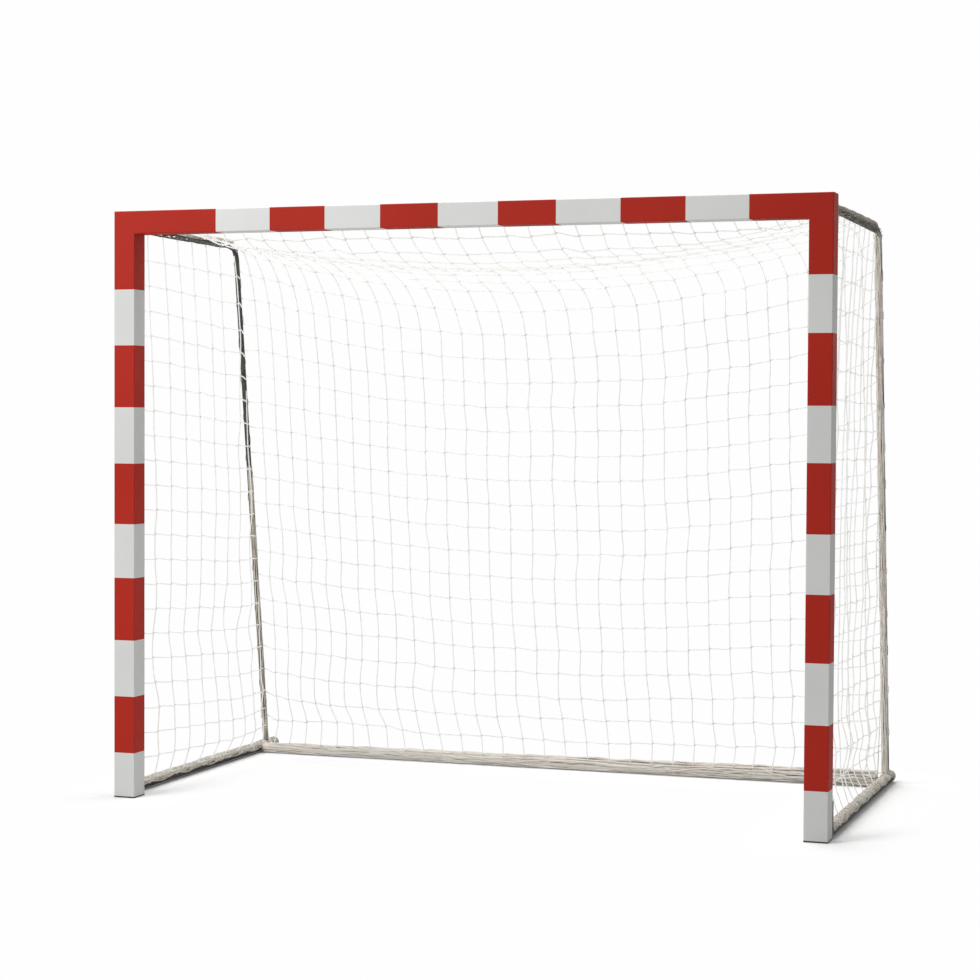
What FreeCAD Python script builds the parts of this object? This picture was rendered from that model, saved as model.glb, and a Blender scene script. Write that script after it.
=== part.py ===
import FreeCAD, Part
import math
import os

import Sketcher
from FreeCAD import Placement, Rotation, Vector

# Free-standing goal: a square-section frame, two bent tube hoops, a tube ground frame and a net.
# Lengths are in millimetres. +X runs along the crossbar, +Y to the rear of the goal, +Z up.
# The origin is on the floor, in the middle of the goal's footprint.

# Driving dimensions, one row of the sheet each
DRIVING = [
    ("opening_width", 2400),     # clear width between the posts
    ("opening_height", 2000),    # clear height under the crossbar
    ("overall_depth", 1350),     # front face of the posts to the tips of the rail caps
    ("profile_side", 80),        # side of the square post and crossbar section
    ("profile_wall", 3),
    ("profile_round", 3),        # outer corner radius of the section
    ("groove_mouth", 10),        # width of the net groove's mouth
    ("groove_width", 16),        # width inside the net groove
    ("groove_lip", 3),           # thickness of the two lips of the groove
    ("groove_depth", 12),        # rear face to the floor of the groove
    ("groove_wall", 2.5),
    ("fit_gap", 0.3),            # clearance between pieces that slide together
    ("foot_flange", 5),          # plate under each post
    ("foot_plug", 40),           # height of the plug inside the post
    ("foot_wall", 4),
    ("foot_round", 3),
    ("corner_arm", 150),         # length of each arm of the corner brackets
    ("corner_web", 8),           # wall round the hollows of the corner brackets
    ("bolt_shank", 8),
    ("bolt_length", 22),         # length of shank beyond the face under the head
    ("bolt_head", 13),           # across the flats
    ("bolt_head_height", 5.3),
    ("tube_inset", 16),          # outer face of the post to the axis of hoop and rail
    ("plate_thick", 6),
    ("plate_round", 6),
    ("hoop_plate_width", 30),
    ("hoop_plate_height", 104),
    ("rail_plate_width", 36),
    ("rail_plate_height", 122),
    ("bolt_pitch", 34),          # distance between the two bolts of a plate
    ("spigot_length", 45),       # length of the plugs that hold the tubes
    ("hoop_tube", 20),           # outside diameter of the hoops
    ("hoop_wall", 2),
    ("hoop_drop", 45),           # top of the crossbar to the axis of the hoop's top run
    ("hoop_top_reach", 965),     # front plane to the hoop's upper corner
    ("hoop_setback", 90),        # axis of the hoop's foot to the tips of the rail caps
    ("hoop_bend", 80),           # bend radius on the axis of the tube
    ("rail_tube", 36),           # outside diameter of the ground rails
    ("rail_wall", 2.5),
    ("rail_lift", 22),           # height of the rails' axis, and radius of their end caps
    ("bar_tube", 32),            # outside diameter of the rear ground bar
    ("bar_wall", 2.5),
    ("bar_setback", 70),         # axis of the rear ground bar to the axis of the hoop's foot
    ("cap_sleeve", 30),          # length of the cap that grips the rail
    ("cap_thick", 16),
    ("cap_round", 12),
    ("wrap_thick", 2.3),         # thickness of the net rolled round the ground tubes
    ("wrap_margin", 10),         # bare tube left beside each joint of the ground tubes
    ("screw_inset", 25),         # end of a tube to the screw that locks it on its spigot
    ("net_cord", 4),             # thickness of the net panels
    ("net_string", 5),           # width of a mesh string
    ("net_border", 8),           # width of the border rope
    ("net_standoff", 17),        # rear face of the post to the net's front border
    ("net_rows", 11),            # meshes up the back and the sides
    ("back_columns", 16),        # meshes across the back and the top
    ("side_columns", 6),
    ("top_rows", 5),
    ("net_sag", 205),            # how far the middle of the net hangs below the hoops' bends
    ("net_draw", 110),           # how far the middle of the net hangs in front of the back's plane
    ("tie_thick", 2.4),          # cord thickness of the ties round the hoops
    ("tie_width", 5),
    ("top_ties", 4),             # ties on the top run of each hoop
    ("upright_ties", 8),         # ties on the upright of each hoop
    ("hook_width", 12),
    ("hook_plate", 3),           # thickness of the plate of a net hook
    ("hook_tip", 3),
]

doc = FreeCAD.newDocument("goal")
sheet = doc.addObject("Spreadsheet::Sheet", "dims")
for row, (alias, number) in enumerate(DRIVING, 1):
    sheet.set("A%d" % row, alias)
    sheet.set("B%d" % row, str(number))
    sheet.setAlias("B%d" % row, alias)
doc.recompute()


class Size:
    """A length with the sheet formula that it comes from."""

    def __init__(self, value, formula):
        self.value = float(value)
        self.formula = formula

    def __float__(self):
        return self.value

    def __add__(self, other):
        other = size(other)
        return Size(self.value + other.value, "(%s + %s)" % (self.formula, other.formula))

    def __sub__(self, other):
        other = size(other)
        return Size(self.value - other.value, "(%s - %s)" % (self.formula, other.formula))

    def __mul__(self, other):
        other = size(other)
        return Size(self.value * other.value, "(%s * %s)" % (self.formula, other.formula))

    def __truediv__(self, other):
        other = size(other)
        return Size(self.value / other.value, "(%s / %s)" % (self.formula, other.formula))

    def __radd__(self, other):
        return size(other) + self

    def __rsub__(self, other):
        return size(other) - self

    def __rmul__(self, other):
        return size(other) * self

    def __neg__(self):
        return size(0) - self


def size(item):
    """A plain number, or a size as it is."""
    return item if isinstance(item, Size) else Size(item, repr(float(item)))


def cell(alias):
    """The size in one cell of the sheet."""
    return Size(sheet.get(alias), "dims." + alias)


def bind(thing, path, length):
    """Tie a property of a document object to a size."""
    thing.setExpression(path, size(length).formula)


# Sizes that several pieces share
side = cell("profile_side")
wall = cell("profile_wall")
gap = cell("fit_gap")
inner = cell("opening_width") / 2
outer = inner + side
middle = inner + side / 2
top = cell("opening_height") + side
bar_middle = cell("opening_height") + side / 2
groove_back = side - cell("groove_depth") - cell("groove_wall")
groove_half = cell("groove_width") / 2 + cell("groove_wall")
front = -cell("overall_depth") / 2
plate_rear = side + cell("plate_thick")
tube_line = outer - cell("tube_inset")
hoop_height = top - cell("hoop_drop")
hoop_radius = cell("hoop_tube") / 2
rail_height = cell("rail_lift")
rail_radius = cell("rail_tube") / 2
bar_radius = cell("bar_tube") / 2
rail_end = cell("overall_depth") - cell("cap_thick")
foot_reach = cell("overall_depth") - cell("hoop_setback")
bar_reach = foot_reach - cell("bar_setback")
hoop_lean = math.atan2(foot_reach.value - cell("hoop_top_reach").value,
                       hoop_height.value - rail_height.value)
OVERRUN = 5.0    # how far a cut runs past the solid that it cuts
CAP_STEPS = 3    # flats round the rim of a rail cap
SIDES = [("left", -1), ("right", 1)]


def new_body(label):
    """A body in the goal's own place, its front plane half the depth before the origin."""
    body = doc.addObject("PartDesign::Body", label)
    body.Label = label
    bind(body, "Placement.Base.y", front)
    return body


def new_sketch(body, role, offset=0, up=0):
    """A sketch on an origin plane of the body, moved along its normal and its second axis."""
    sketch = body.newObject("Sketcher::SketchObject", "sketch")
    plane = [item for item in body.Origin.OriginFeatures if item.Role == role][0]
    sketch.AttachmentSupport = (plane, "")
    sketch.MapMode = "FlatFace"
    bind(sketch, "AttachmentOffset.Base.z", offset)
    bind(sketch, "AttachmentOffset.Base.y", up)
    return sketch


def cross_sketch(body, depth):
    """A sketch across the goal's depth: X and Z, at one distance behind the front plane."""
    return new_sketch(body, "XZ_Plane", -size(depth))


def side_sketch(body, across):
    """A sketch seen from the side: Y and Z, at one place across the goal."""
    return new_sketch(body, "YZ_Plane", across)


def place_point(sketch, piece, point, u, v):
    """Hold a point of the sketch at (u, v)."""
    for kind, length in (("DistanceX", u), ("DistanceY", v)):
        rule = sketch.addConstraint(Sketcher.Constraint(kind, -1, 1, piece, point, float(length)))
        bind(sketch, "Constraints[%d]" % rule, length)


def draw_polygon(sketch, points):
    """A closed outline through points that are each held in place."""
    start = sketch.GeometryCount
    count = len(points)
    corners = [Vector(float(u), float(v), 0) for u, v in points]
    sketch.addGeometry([Part.LineSegment(corners[i], corners[(i + 1) % count]) for i in range(count)])
    for i in range(count):
        follower = start + (i + 1) % count
        sketch.addConstraint(Sketcher.Constraint("Coincident", start + i, 2, follower, 1))
    for i, (u, v) in enumerate(points):
        place_point(sketch, start + i, 1, u, v)


def draw_circle(sketch, u, v, radius):
    """A circle held at its centre."""
    centre = Vector(float(u), float(v), 0)
    piece = sketch.addGeometry(Part.Circle(centre, Vector(0, 0, 1), float(radius)))
    rule = sketch.addConstraint(Sketcher.Constraint("Radius", piece, float(radius)))
    bind(sketch, "Constraints[%d]" % rule, radius)
    place_point(sketch, piece, 3, u, v)


def draw_rectangle(sketch, low_u, low_v, high_u, high_v):
    """An upright rectangle between two corners."""
    draw_polygon(sketch, [(low_u, low_v), (high_u, low_v), (high_u, high_v), (low_u, high_v)])


def pad(body, sketch, length, backwards=False):
    """Raise the sketch along its normal, or against it."""
    feature = body.newObject("PartDesign::Pad", "pad")
    feature.Profile = sketch
    bind(feature, "Length", length)
    feature.Reversed = backwards
    return feature


def pocket(body, sketch, length, backwards=False):
    """Cut the sketch against its normal, or along it, and make sure that it cut."""
    doc.recompute()
    before = body.Shape.Volume
    feature = body.newObject("PartDesign::Pocket", "pocket")
    feature.Profile = sketch
    bind(feature, "Length", length)
    feature.Reversed = backwards
    doc.recompute()
    if not body.Shape.Volume < before:
        raise RuntimeError("a pocket of %s cuts nothing" % body.Label)
    return feature


def fillet(body, base, radius, wanted):
    """Round the edges of the base feature that the wanted test picks."""
    doc.recompute()
    names = ["Edge%d" % (i + 1) for i, edge in enumerate(base.Shape.Edges) if wanted(edge)]
    feature = body.newObject("PartDesign::Fillet", "fillet")
    feature.Base = (base, names)
    bind(feature, "Radius", radius)
    return feature


def straight_tube(label, plane, offset, centre, radius, tube_wall, length):
    """A round tube along the normal of one of the origin planes."""
    body = new_body(label)
    sketch = new_sketch(body, plane, offset)
    draw_circle(sketch, centre[0], centre[1], radius)
    draw_circle(sketch, centre[0], centre[1], radius - tube_wall)
    pad(body, sketch, length)
    return body


def cope(body, across, radius):
    """Hollow a body's end to fit round a ground rail."""
    sketch = cross_sketch(body, -OVERRUN)
    draw_circle(sketch, across, rail_height, radius)
    pocket(body, sketch, cell("overall_depth") + 2 * OVERRUN)


def plain_feature(label, shape):
    """A finished shape in the goal's own place."""
    feature = doc.addObject("Part::Feature", label)
    feature.Label = label
    feature.Shape = shape
    feature.Placement = Placement(Vector(0, front.value, 0), Rotation())
    return feature


# Goal frame

def section_points(sketch_centre, near, far, centre):
    """Outer and inner outline of the square section; the net groove opens at the far side."""
    mouth = cell("groove_mouth") / 2
    groove = cell("groove_width") / 2
    lip = far - cell("groove_lip")
    floor = far - cell("groove_depth")
    left = centre - side / 2
    right = centre + side / 2
    outline = [(left, near), (right, near), (right, far), (centre + mouth, far), (centre + mouth, lip),
               (centre + groove, lip), (centre + groove, floor), (centre - groove, floor),
               (centre - groove, lip), (centre - mouth, lip), (centre - mouth, far), (left, far)]
    cavity = [(left + wall, near + wall), (right - wall, near + wall), (right - wall, far - wall),
              (centre + groove_half, far - wall), (centre + groove_half, groove_back),
              (centre - groove_half, groove_back), (centre - groove_half, far - wall),
              (left + wall, far - wall)]
    return [outline, cavity] if sketch_centre else [[(v, u) for u, v in ring] for ring in (outline, cavity)]


def at_corner(edge, axis, corners):
    """True for an edge along an axis, 0 to 2, that runs through one of the corners of the section."""
    spots = [[value for k, value in enumerate(vertex.Point) if k != axis] for vertex in edge.Vertexes]
    return math.dist(spots[0], spots[-1]) < 1e-6 and any(math.dist(spots[0], end) < 1e-6 for end in corners)


def make_post(label, sign):
    """A post: hollow section with a rear groove, cut to a mitre under the crossbar's end."""
    body = new_body(label)
    sketch = new_sketch(body, "XY_Plane", cell("foot_flange"))
    centre = sign * middle
    for ring in section_points(True, size(0), side, centre):
        draw_polygon(sketch, ring)
    bar = pad(body, sketch, top - cell("foot_flange"))
    corners = [(x, y) for x in (sign * inner.value, sign * outer.value) for y in (0.0, side.value)]
    fillet(body, bar, cell("profile_round"),
           lambda edge: at_corner(edge, 2, corners))
    mitre = cross_sketch(body, -OVERRUN)
    low = cell("opening_height") - OVERRUN
    draw_polygon(mitre, [(sign * (inner - OVERRUN), low), (sign * (outer + OVERRUN), top + OVERRUN),
                         (sign * (inner - OVERRUN), top + OVERRUN)])
    pocket(body, mitre, side + 2 * OVERRUN)
    holes = cross_sketch(body, side + OVERRUN)
    for across, height in post_bolts(sign):
        draw_circle(holes, across, height, cell("bolt_shank") / 2 + gap)
    pocket(body, holes, wall + OVERRUN + gap, True)
    return body


def hoop_bolts(sign):
    """Places of the two bolts of a hoop plate."""
    return [(sign * tube_line, hoop_height - cell("bolt_pitch") * k) for k in (1, 2)]


def rail_bolts(sign):
    """Places of the two bolts of a rail plate."""
    first = rail_height + rail_radius + cell("bolt_head")
    return [(sign * tube_line, first + cell("bolt_pitch") * k) for k in (0, 1)]


def corner_screws(sign):
    """Places of the two screws that hold the corner bracket in the post."""
    across = sign * (inner + cell("tube_inset"))
    return [(across, hoop_height - cell("bolt_pitch") * k) for k in (2, 3)]


def crossbar_screws(sign):
    """Places of the two screws that hold the corner bracket in the crossbar."""
    height = cell("opening_height") + cell("tube_inset")
    first = outer - cell("corner_arm") + cell("bolt_pitch") / 2
    return [(sign * (first + cell("bolt_pitch") * k), height) for k in (0, 1)]


def post_bolts(sign):
    return hoop_bolts(sign) + rail_bolts(sign) + corner_screws(sign)


def make_crossbar():
    """The crossbar: the same section lying across, mitred at both ends."""
    body = new_body("crossbar")
    sketch = side_sketch(body, -outer)
    for ring in section_points(False, size(0), side, bar_middle):
        draw_polygon(sketch, ring)
    bar = pad(body, sketch, 2 * outer)
    corners = [(y, z) for y in (0.0, side.value) for z in (cell("opening_height").value, top.value)]
    fillet(body, bar, cell("profile_round"),
           lambda edge: at_corner(edge, 0, corners))
    low = cell("opening_height") - OVERRUN
    mitres = cross_sketch(body, -OVERRUN)
    for _, sign in SIDES:
        draw_polygon(mitres, [(sign * (inner - OVERRUN), low), (sign * (outer + OVERRUN), low),
                              (sign * (outer + OVERRUN), top + OVERRUN)])
    pocket(body, mitres, side + 2 * OVERRUN)
    holes = cross_sketch(body, side + OVERRUN)
    for _, sign in SIDES:
        for across, height in crossbar_screws(sign):
            draw_circle(holes, across, height, cell("bolt_shank") / 2 + gap)
    pocket(body, holes, wall + OVERRUN + gap, True)
    return body


def make_corner_bracket(label, sign):
    """A cast L inside the mitre, hollowed from the front, with a channel for the groove."""
    body = new_body(label)
    skin = wall + gap
    arm = cell("corner_arm")
    web = cell("corner_web")
    roof = top - skin
    cheek = outer - skin
    belly = cell("opening_height") + skin
    throat = inner + skin
    sketch = cross_sketch(body, side - skin)
    draw_polygon(sketch, [(sign * cheek, roof), (sign * cheek, top - arm), (sign * throat, top - arm),
                          (sign * throat, belly), (sign * (outer - arm), belly), (sign * (outer - arm), roof)])
    pad(body, sketch, side - 2 * skin)
    channel = cross_sketch(body, side - skin + OVERRUN)
    half = groove_half + gap
    draw_polygon(channel, [(sign * (middle + half), bar_middle + half),
                           (sign * (middle + half), top - arm - OVERRUN),
                           (sign * (middle - half), top - arm - OVERRUN),
                           (sign * (middle - half), bar_middle - half),
                           (sign * (outer - arm - OVERRUN), bar_middle - half),
                           (sign * (outer - arm - OVERRUN), bar_middle + half)])
    pocket(body, channel, side - skin - groove_back + gap + OVERRUN, True)
    hollow = cross_sketch(body, skin - OVERRUN)
    draw_rectangle(hollow, sign * (throat + web), top - arm + web, sign * (cheek - web), belly - web)
    draw_rectangle(hollow, sign * (outer - arm + web), belly + web, sign * (throat - web), roof - web)
    pocket(body, hollow, side / 2 - skin + OVERRUN)
    taps = cross_sketch(body, side - skin + OVERRUN)
    for across, height in hoop_bolts(sign) + corner_screws(sign) + crossbar_screws(sign):
        draw_circle(taps, across, height, cell("bolt_shank") / 2 + gap / 2)
    pocket(body, taps, cell("bolt_length") + OVERRUN, True)
    return body


def make_foot_cap(label, sign):
    """A moulded foot: a plate under the post and a hollow plug inside it."""
    body = new_body(label)
    flange = new_sketch(body, "XY_Plane")
    draw_rectangle(flange, sign * inner, size(0), sign * outer, side)
    plate = pad(body, flange, cell("foot_flange"))
    fillet(body, plate, cell("foot_round"),
           lambda edge: all(vertex.Point.z < 1e-6 for vertex in edge.Vertexes))
    skin = wall + gap
    centre = sign * middle
    half = groove_half + gap
    reach = side / 2 - skin
    plug = new_sketch(body, "XY_Plane", cell("foot_flange"))
    draw_polygon(plug, [(centre - reach, skin), (centre + reach, skin), (centre + reach, side - skin),
                        (centre + half, side - skin), (centre + half, groove_back - gap),
                        (centre - half, groove_back - gap), (centre - half, side - skin),
                        (centre - reach, side - skin)])
    pad(body, plug, cell("foot_plug"))
    inside = new_sketch(body, "XY_Plane", cell("foot_flange") + cell("foot_plug"))
    thick = cell("foot_wall")
    draw_rectangle(inside, centre - reach + thick, skin + thick, centre + reach - thick,
                   groove_back - gap - thick)
    pocket(body, inside, cell("foot_plug") - thick)
    return body


# Hoops and ground frame

def make_hoop(label, sign):
    """A tube bent once: back from the post, then down and outwards to the ground rail."""
    body = new_body(label)
    spine = side_sketch(body, sign * tube_line)
    start = Vector(plate_rear.value, hoop_height.value, 0)
    corner = Vector(cell("hoop_top_reach").value, hoop_height.value, 0)
    foot = Vector(foot_reach.value, rail_height.value, 0)
    cut = cell("hoop_bend").value * math.tan((math.pi / 2 - hoop_lean) / 2)
    down = (foot - corner).normalize()
    enter = corner - Vector(cut, 0, 0)
    leave = corner + down * cut
    centre = enter - Vector(0, cell("hoop_bend").value, 0)
    halfway = (enter + leave) / 2 - centre
    crown = centre + halfway.normalize() * cell("hoop_bend").value
    spine.addGeometry([Part.LineSegment(start, enter), Part.Arc(enter, crown, leave),
                       Part.LineSegment(leave, foot)])
    spine.addConstraint(Sketcher.Constraint("Horizontal", 0))
    # The arc runs clockwise, so its first end is the lower one
    spine.addConstraint(Sketcher.Constraint("Tangent", 0, 2, 1, 2))
    spine.addConstraint(Sketcher.Constraint("Tangent", 1, 1, 2, 1))
    rule = spine.addConstraint(Sketcher.Constraint("Radius", 1, cell("hoop_bend").value))
    bind(spine, "Constraints[%d]" % rule, cell("hoop_bend"))
    place_point(spine, 0, 1, plate_rear, hoop_height)
    place_point(spine, 2, 2, foot_reach, rail_height)
    apex = spine.addGeometry(Part.Point(corner), True)
    spine.addConstraint(Sketcher.Constraint("PointOnObject", apex, 1, 0))
    spine.addConstraint(Sketcher.Constraint("PointOnObject", apex, 1, 2))
    rule = spine.addConstraint(Sketcher.Constraint("DistanceX", -1, 1, apex, 1, corner.x))
    bind(spine, "Constraints[%d]" % rule, cell("hoop_top_reach"))
    ring = cross_sketch(body, plate_rear)
    draw_circle(ring, sign * tube_line, hoop_height, hoop_radius)
    draw_circle(ring, sign * tube_line, hoop_height, hoop_radius - cell("hoop_wall"))
    pipe = body.newObject("PartDesign::AdditivePipe", "pipe")
    pipe.Profile = ring
    pipe.Spine = (spine, ["Edge1", "Edge2", "Edge3"])
    cope(body, sign * tube_line, rail_radius + gap)
    return body


def make_plate(label, sign, low, width, height, tube_height, spigot, bolts):
    """A wall plate on the back of the post, with a round spigot inside the tube's end."""
    body = new_body(label)
    sketch = cross_sketch(body, side)
    left = sign * tube_line - width / 2
    draw_rectangle(sketch, left, low, left + width, low + height)
    slab = pad(body, sketch, cell("plate_thick"), True)
    fillet(body, slab, cell("plate_round"),
           lambda edge: abs(edge.Vertexes[0].Point.y - edge.Vertexes[-1].Point.y) > 1e-6)
    plug = cross_sketch(body, plate_rear)
    draw_circle(plug, sign * tube_line, tube_height, spigot)
    pad(body, plug, cell("spigot_length"), True)
    holes = cross_sketch(body, side - OVERRUN)
    for across, level in bolts:
        draw_circle(holes, across, level, cell("bolt_shank") / 2 + gap)
    pocket(body, holes, cell("plate_thick") + 2 * OVERRUN)
    return body


def make_hoop_plate(label, sign):
    reach = cell("hoop_plate_height")
    margin = cell("bolt_head")
    low = hoop_height - 2 * cell("bolt_pitch") - margin
    spigot = hoop_radius - cell("hoop_wall") - gap
    return make_plate(label, sign, low, cell("hoop_plate_width"), reach, hoop_height, spigot,
                      hoop_bolts(sign))


def make_rail_plate(label, sign):
    low = cell("foot_flange")
    spigot = rail_radius - cell("rail_wall") - gap
    return make_plate(label, sign, low, cell("rail_plate_width"), cell("rail_plate_height"), rail_height,
                      spigot, rail_bolts(sign))


def make_nut_plate(label, sign):
    """A threaded strip inside the post that the rail plate's bolts pull against."""
    body = new_body(label)
    bolts = rail_bolts(sign)
    margin = cell("bolt_head") * 0.75
    reach = cell("bolt_shank")
    sketch = cross_sketch(body, side - wall - gap)
    left = sign * tube_line - reach
    draw_rectangle(sketch, left, bolts[0][1] - margin, left + 2 * reach, bolts[1][1] + margin)
    pad(body, sketch, cell("plate_thick"))
    taps = cross_sketch(body, side)
    for across, level in bolts:
        draw_circle(taps, across, level, cell("bolt_shank") / 2 + gap / 2)
    pocket(body, taps, wall + cell("plate_thick") + OVERRUN, True)
    return body


def make_rail(label, sign):
    """A ground rail: a round tube from the rail plate to its end cap."""
    return straight_tube(label, "XZ_Plane", -rail_end, (sign * tube_line, rail_height), rail_radius,
                         cell("rail_wall"), rail_end - plate_rear)


def make_rear_bar():
    """The rear ground bar, hollowed at both ends to fit the rails, with two screw holes."""
    body = straight_tube("rear_ground_bar", "YZ_Plane", -tube_line, (bar_reach, rail_height),
                         bar_radius, cell("bar_wall"), 2 * tube_line)
    for _, sign in SIDES:
        cope(body, sign * tube_line, rail_radius + gap)
    holes = new_sketch(body, "XY_Plane", rail_height + bar_radius + OVERRUN)
    for _, sign in SIDES:
        draw_circle(holes, sign * lock_line, bar_reach, cell("bolt_shank") / 2 + gap)
    pocket(body, holes, bar_radius + OVERRUN)
    return body


lock_line = tube_line - rail_radius - cell("screw_inset")


def make_bar_spigot(label, sign):
    """A short tube welded to the rail's inner side, which the rear bar slides over."""
    body = new_body(label)
    sketch = side_sketch(body, sign * tube_line)
    radius = bar_radius - cell("bar_wall") - gap
    draw_circle(sketch, bar_reach, rail_height, radius)
    draw_circle(sketch, bar_reach, rail_height, radius - cell("bar_wall"))
    pad(body, sketch, rail_radius + cell("spigot_length"), sign > 0)
    cope(body, sign * tube_line, rail_radius)
    holes = new_sketch(body, "XY_Plane", rail_height + bar_radius + OVERRUN)
    draw_circle(holes, sign * lock_line, bar_reach, cell("bolt_shank") / 2 + gap / 2)
    pocket(body, holes, bar_radius + OVERRUN)
    return body


def make_hoop_spigot(label, sign):
    """A leaning pin welded on top of the rail, which holds the foot of the hoop."""
    rod = doc.addObject("Part::Cylinder", "rod")
    bind(rod, "Radius", hoop_radius - cell("hoop_wall") - gap)
    bind(rod, "Height", rail_radius + cell("spigot_length"))
    bind(rod, "Placement.Base.x", sign * tube_line)
    bind(rod, "Placement.Base.y", front + foot_reach)
    bind(rod, "Placement.Base.z", rail_height)
    rod.Placement.Rotation = Rotation(Vector(1, 0, 0), 1)
    rise = hoop_height - rail_height
    lean = foot_reach - cell("hoop_top_reach")
    rod.setExpression("Placement.Rotation.Angle", "atan(%s)" % (lean / rise).formula)
    rail = doc.addObject("Part::Cylinder", "rail_space")
    bind(rail, "Radius", rail_radius)
    bind(rail, "Height", cell("overall_depth"))
    bind(rail, "Placement.Base.x", sign * tube_line)
    bind(rail, "Placement.Base.y", -front)
    bind(rail, "Placement.Base.z", rail_height)
    rail.Placement.Rotation = Rotation(Vector(1, 0, 0), 90)
    spigot = doc.addObject("Part::Cut", label)
    spigot.Label = label
    spigot.Base = rod
    spigot.Tool = rail
    return spigot


def make_rail_cap(label, sign):
    """A rounded plastic cap over the rear end of a rail; it also holds the rail off the floor."""
    body = new_body(label)
    profile = new_sketch(body, "YZ_Plane", sign * tube_line, rail_height)
    tip = cell("overall_depth")
    bend = cell("cap_round")
    turns = [math.pi / 2 * k / CAP_STEPS for k in range(CAP_STEPS + 1)]
    dome = [(tip - bend * (1 - math.sin(a)), rail_height - bend * (1 - math.cos(a))) for a in turns]
    bore = rail_radius + gap / 2
    mouth = rail_end - cell("cap_sleeve")
    draw_polygon(profile, [(mouth, bore), (mouth, rail_height)] + dome
                 + [(tip, size(0)), (rail_end, size(0)), (rail_end, bore)])
    feature = body.newObject("PartDesign::Revolution", "revolution")
    feature.Profile = profile
    feature.ReferenceAxis = (profile, ["H_Axis"])
    feature.Angle = 360
    return body


# Fasteners

def bolt_shape(place, direction, grip):
    """A hexagon bolt: head outside its seat, shank along the direction, as one solid."""
    flats = cell("bolt_head").value
    tip = flats / math.sqrt(3)
    height = cell("bolt_head_height").value
    ring = [Vector(tip * math.cos(math.pi * k / 3), tip * math.sin(math.pi * k / 3), -height)
            for k in range(7)]
    head = Part.Face(Part.makePolygon(ring)).extrude(Vector(0, 0, height))
    shank = Part.makeCylinder(cell("bolt_shank").value / 2, grip)
    bolt = head.fuse(shank).removeSplitter()
    bolt.Placement = Placement(place, Rotation(Vector(0, 0, 1), direction))
    return bolt


def bolt_group(label, seat, places, grip):
    """Bolts that go forwards into the goal frame from one seat plane."""
    bolts = [bolt_shape(Vector(float(x), float(seat), float(z)), Vector(0, -1, 0), float(grip))
             for x, z in places]
    return plain_feature(label, Part.makeCompound(bolts))


def make_bar_screws():
    """One screw down through each end of the rear bar into its spigot."""
    seat = rail_height + bar_radius
    grip = 2 * cell("bar_wall") + 3 * gap
    bolts = [bolt_shape(Vector(sign * lock_line.value, bar_reach.value, seat.value),
                        Vector(0, 0, -1), grip.value) for _, sign in SIDES]
    return plain_feature("bar_lock_screws", Part.makeCompound(bolts))


# Net and what carries it

def net_plane(sign):
    """Middle of a side net's thickness, just inside the ties of the hoop."""
    ties = hoop_radius + gap + cell("tie_thick")
    return sign * (tube_line - ties - gap - cell("net_cord") / 2)


net_cord = cell("net_cord").value
net_front = side + cell("net_standoff")
net_roof = hoop_height
wrap_radius = bar_radius + gap + cell("wrap_thick")
roof_rear = cell("hoop_top_reach").value - cell("hoop_bend").value * (1 - math.sin(hoop_lean))
side_floor = rail_height + bar_radius + gap


def back_line(height):
    """Front face of the back net, from the bend of the hoops to the wrapped rear bar."""
    rest = (wrap_radius + gap).value * math.sqrt(0.5)
    low = Vector(bar_reach.value + rest, rail_height.value + rest, 0)
    high = Vector(roof_rear, net_roof.value + net_cord / 2, 0)
    return low.x + (high.x - low.x) * (height - low.y) / (high.y - low.y)


def net_stops(count, whole):
    """Both edges of each border and string along one side of a net."""
    edge = cell("net_border").value
    string = cell("net_string").value / 2
    share = (whole - 2 * edge) / count
    lines = [edge + share * k for k in range(1, count)]
    return [(0.0, edge)] + [(line - string, line + string) for line in lines] + [(whole - edge, whole)]


def net_face(corner, columns, rows):
    """A face with one gap per mesh; corner(u, v) gives its points for shares u, v of its size."""
    width = (corner(1, 0) - corner(0, 0)).Length
    height = (corner(0, 1) - corner(0, 0)).Length

    def gaps(count, whole):
        stops = net_stops(count, whole)
        return [(low[1] / whole, high[0] / whole) for low, high in zip(stops, stops[1:])]

    def ring(u0, u1, v0, v1):
        points = [corner(u0, v0), corner(u1, v0), corner(u1, v1), corner(u0, v1)]
        return Part.makePolygon(points + points[:1])

    holes = [ring(u0, u1, v0, v1) for u0, u1 in gaps(columns, width) for v0, v1 in gaps(rows, height)]
    return Part.makeFace([ring(0, 1, 0, 1)] + holes, "Part::FaceMakerBullseye")


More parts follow.
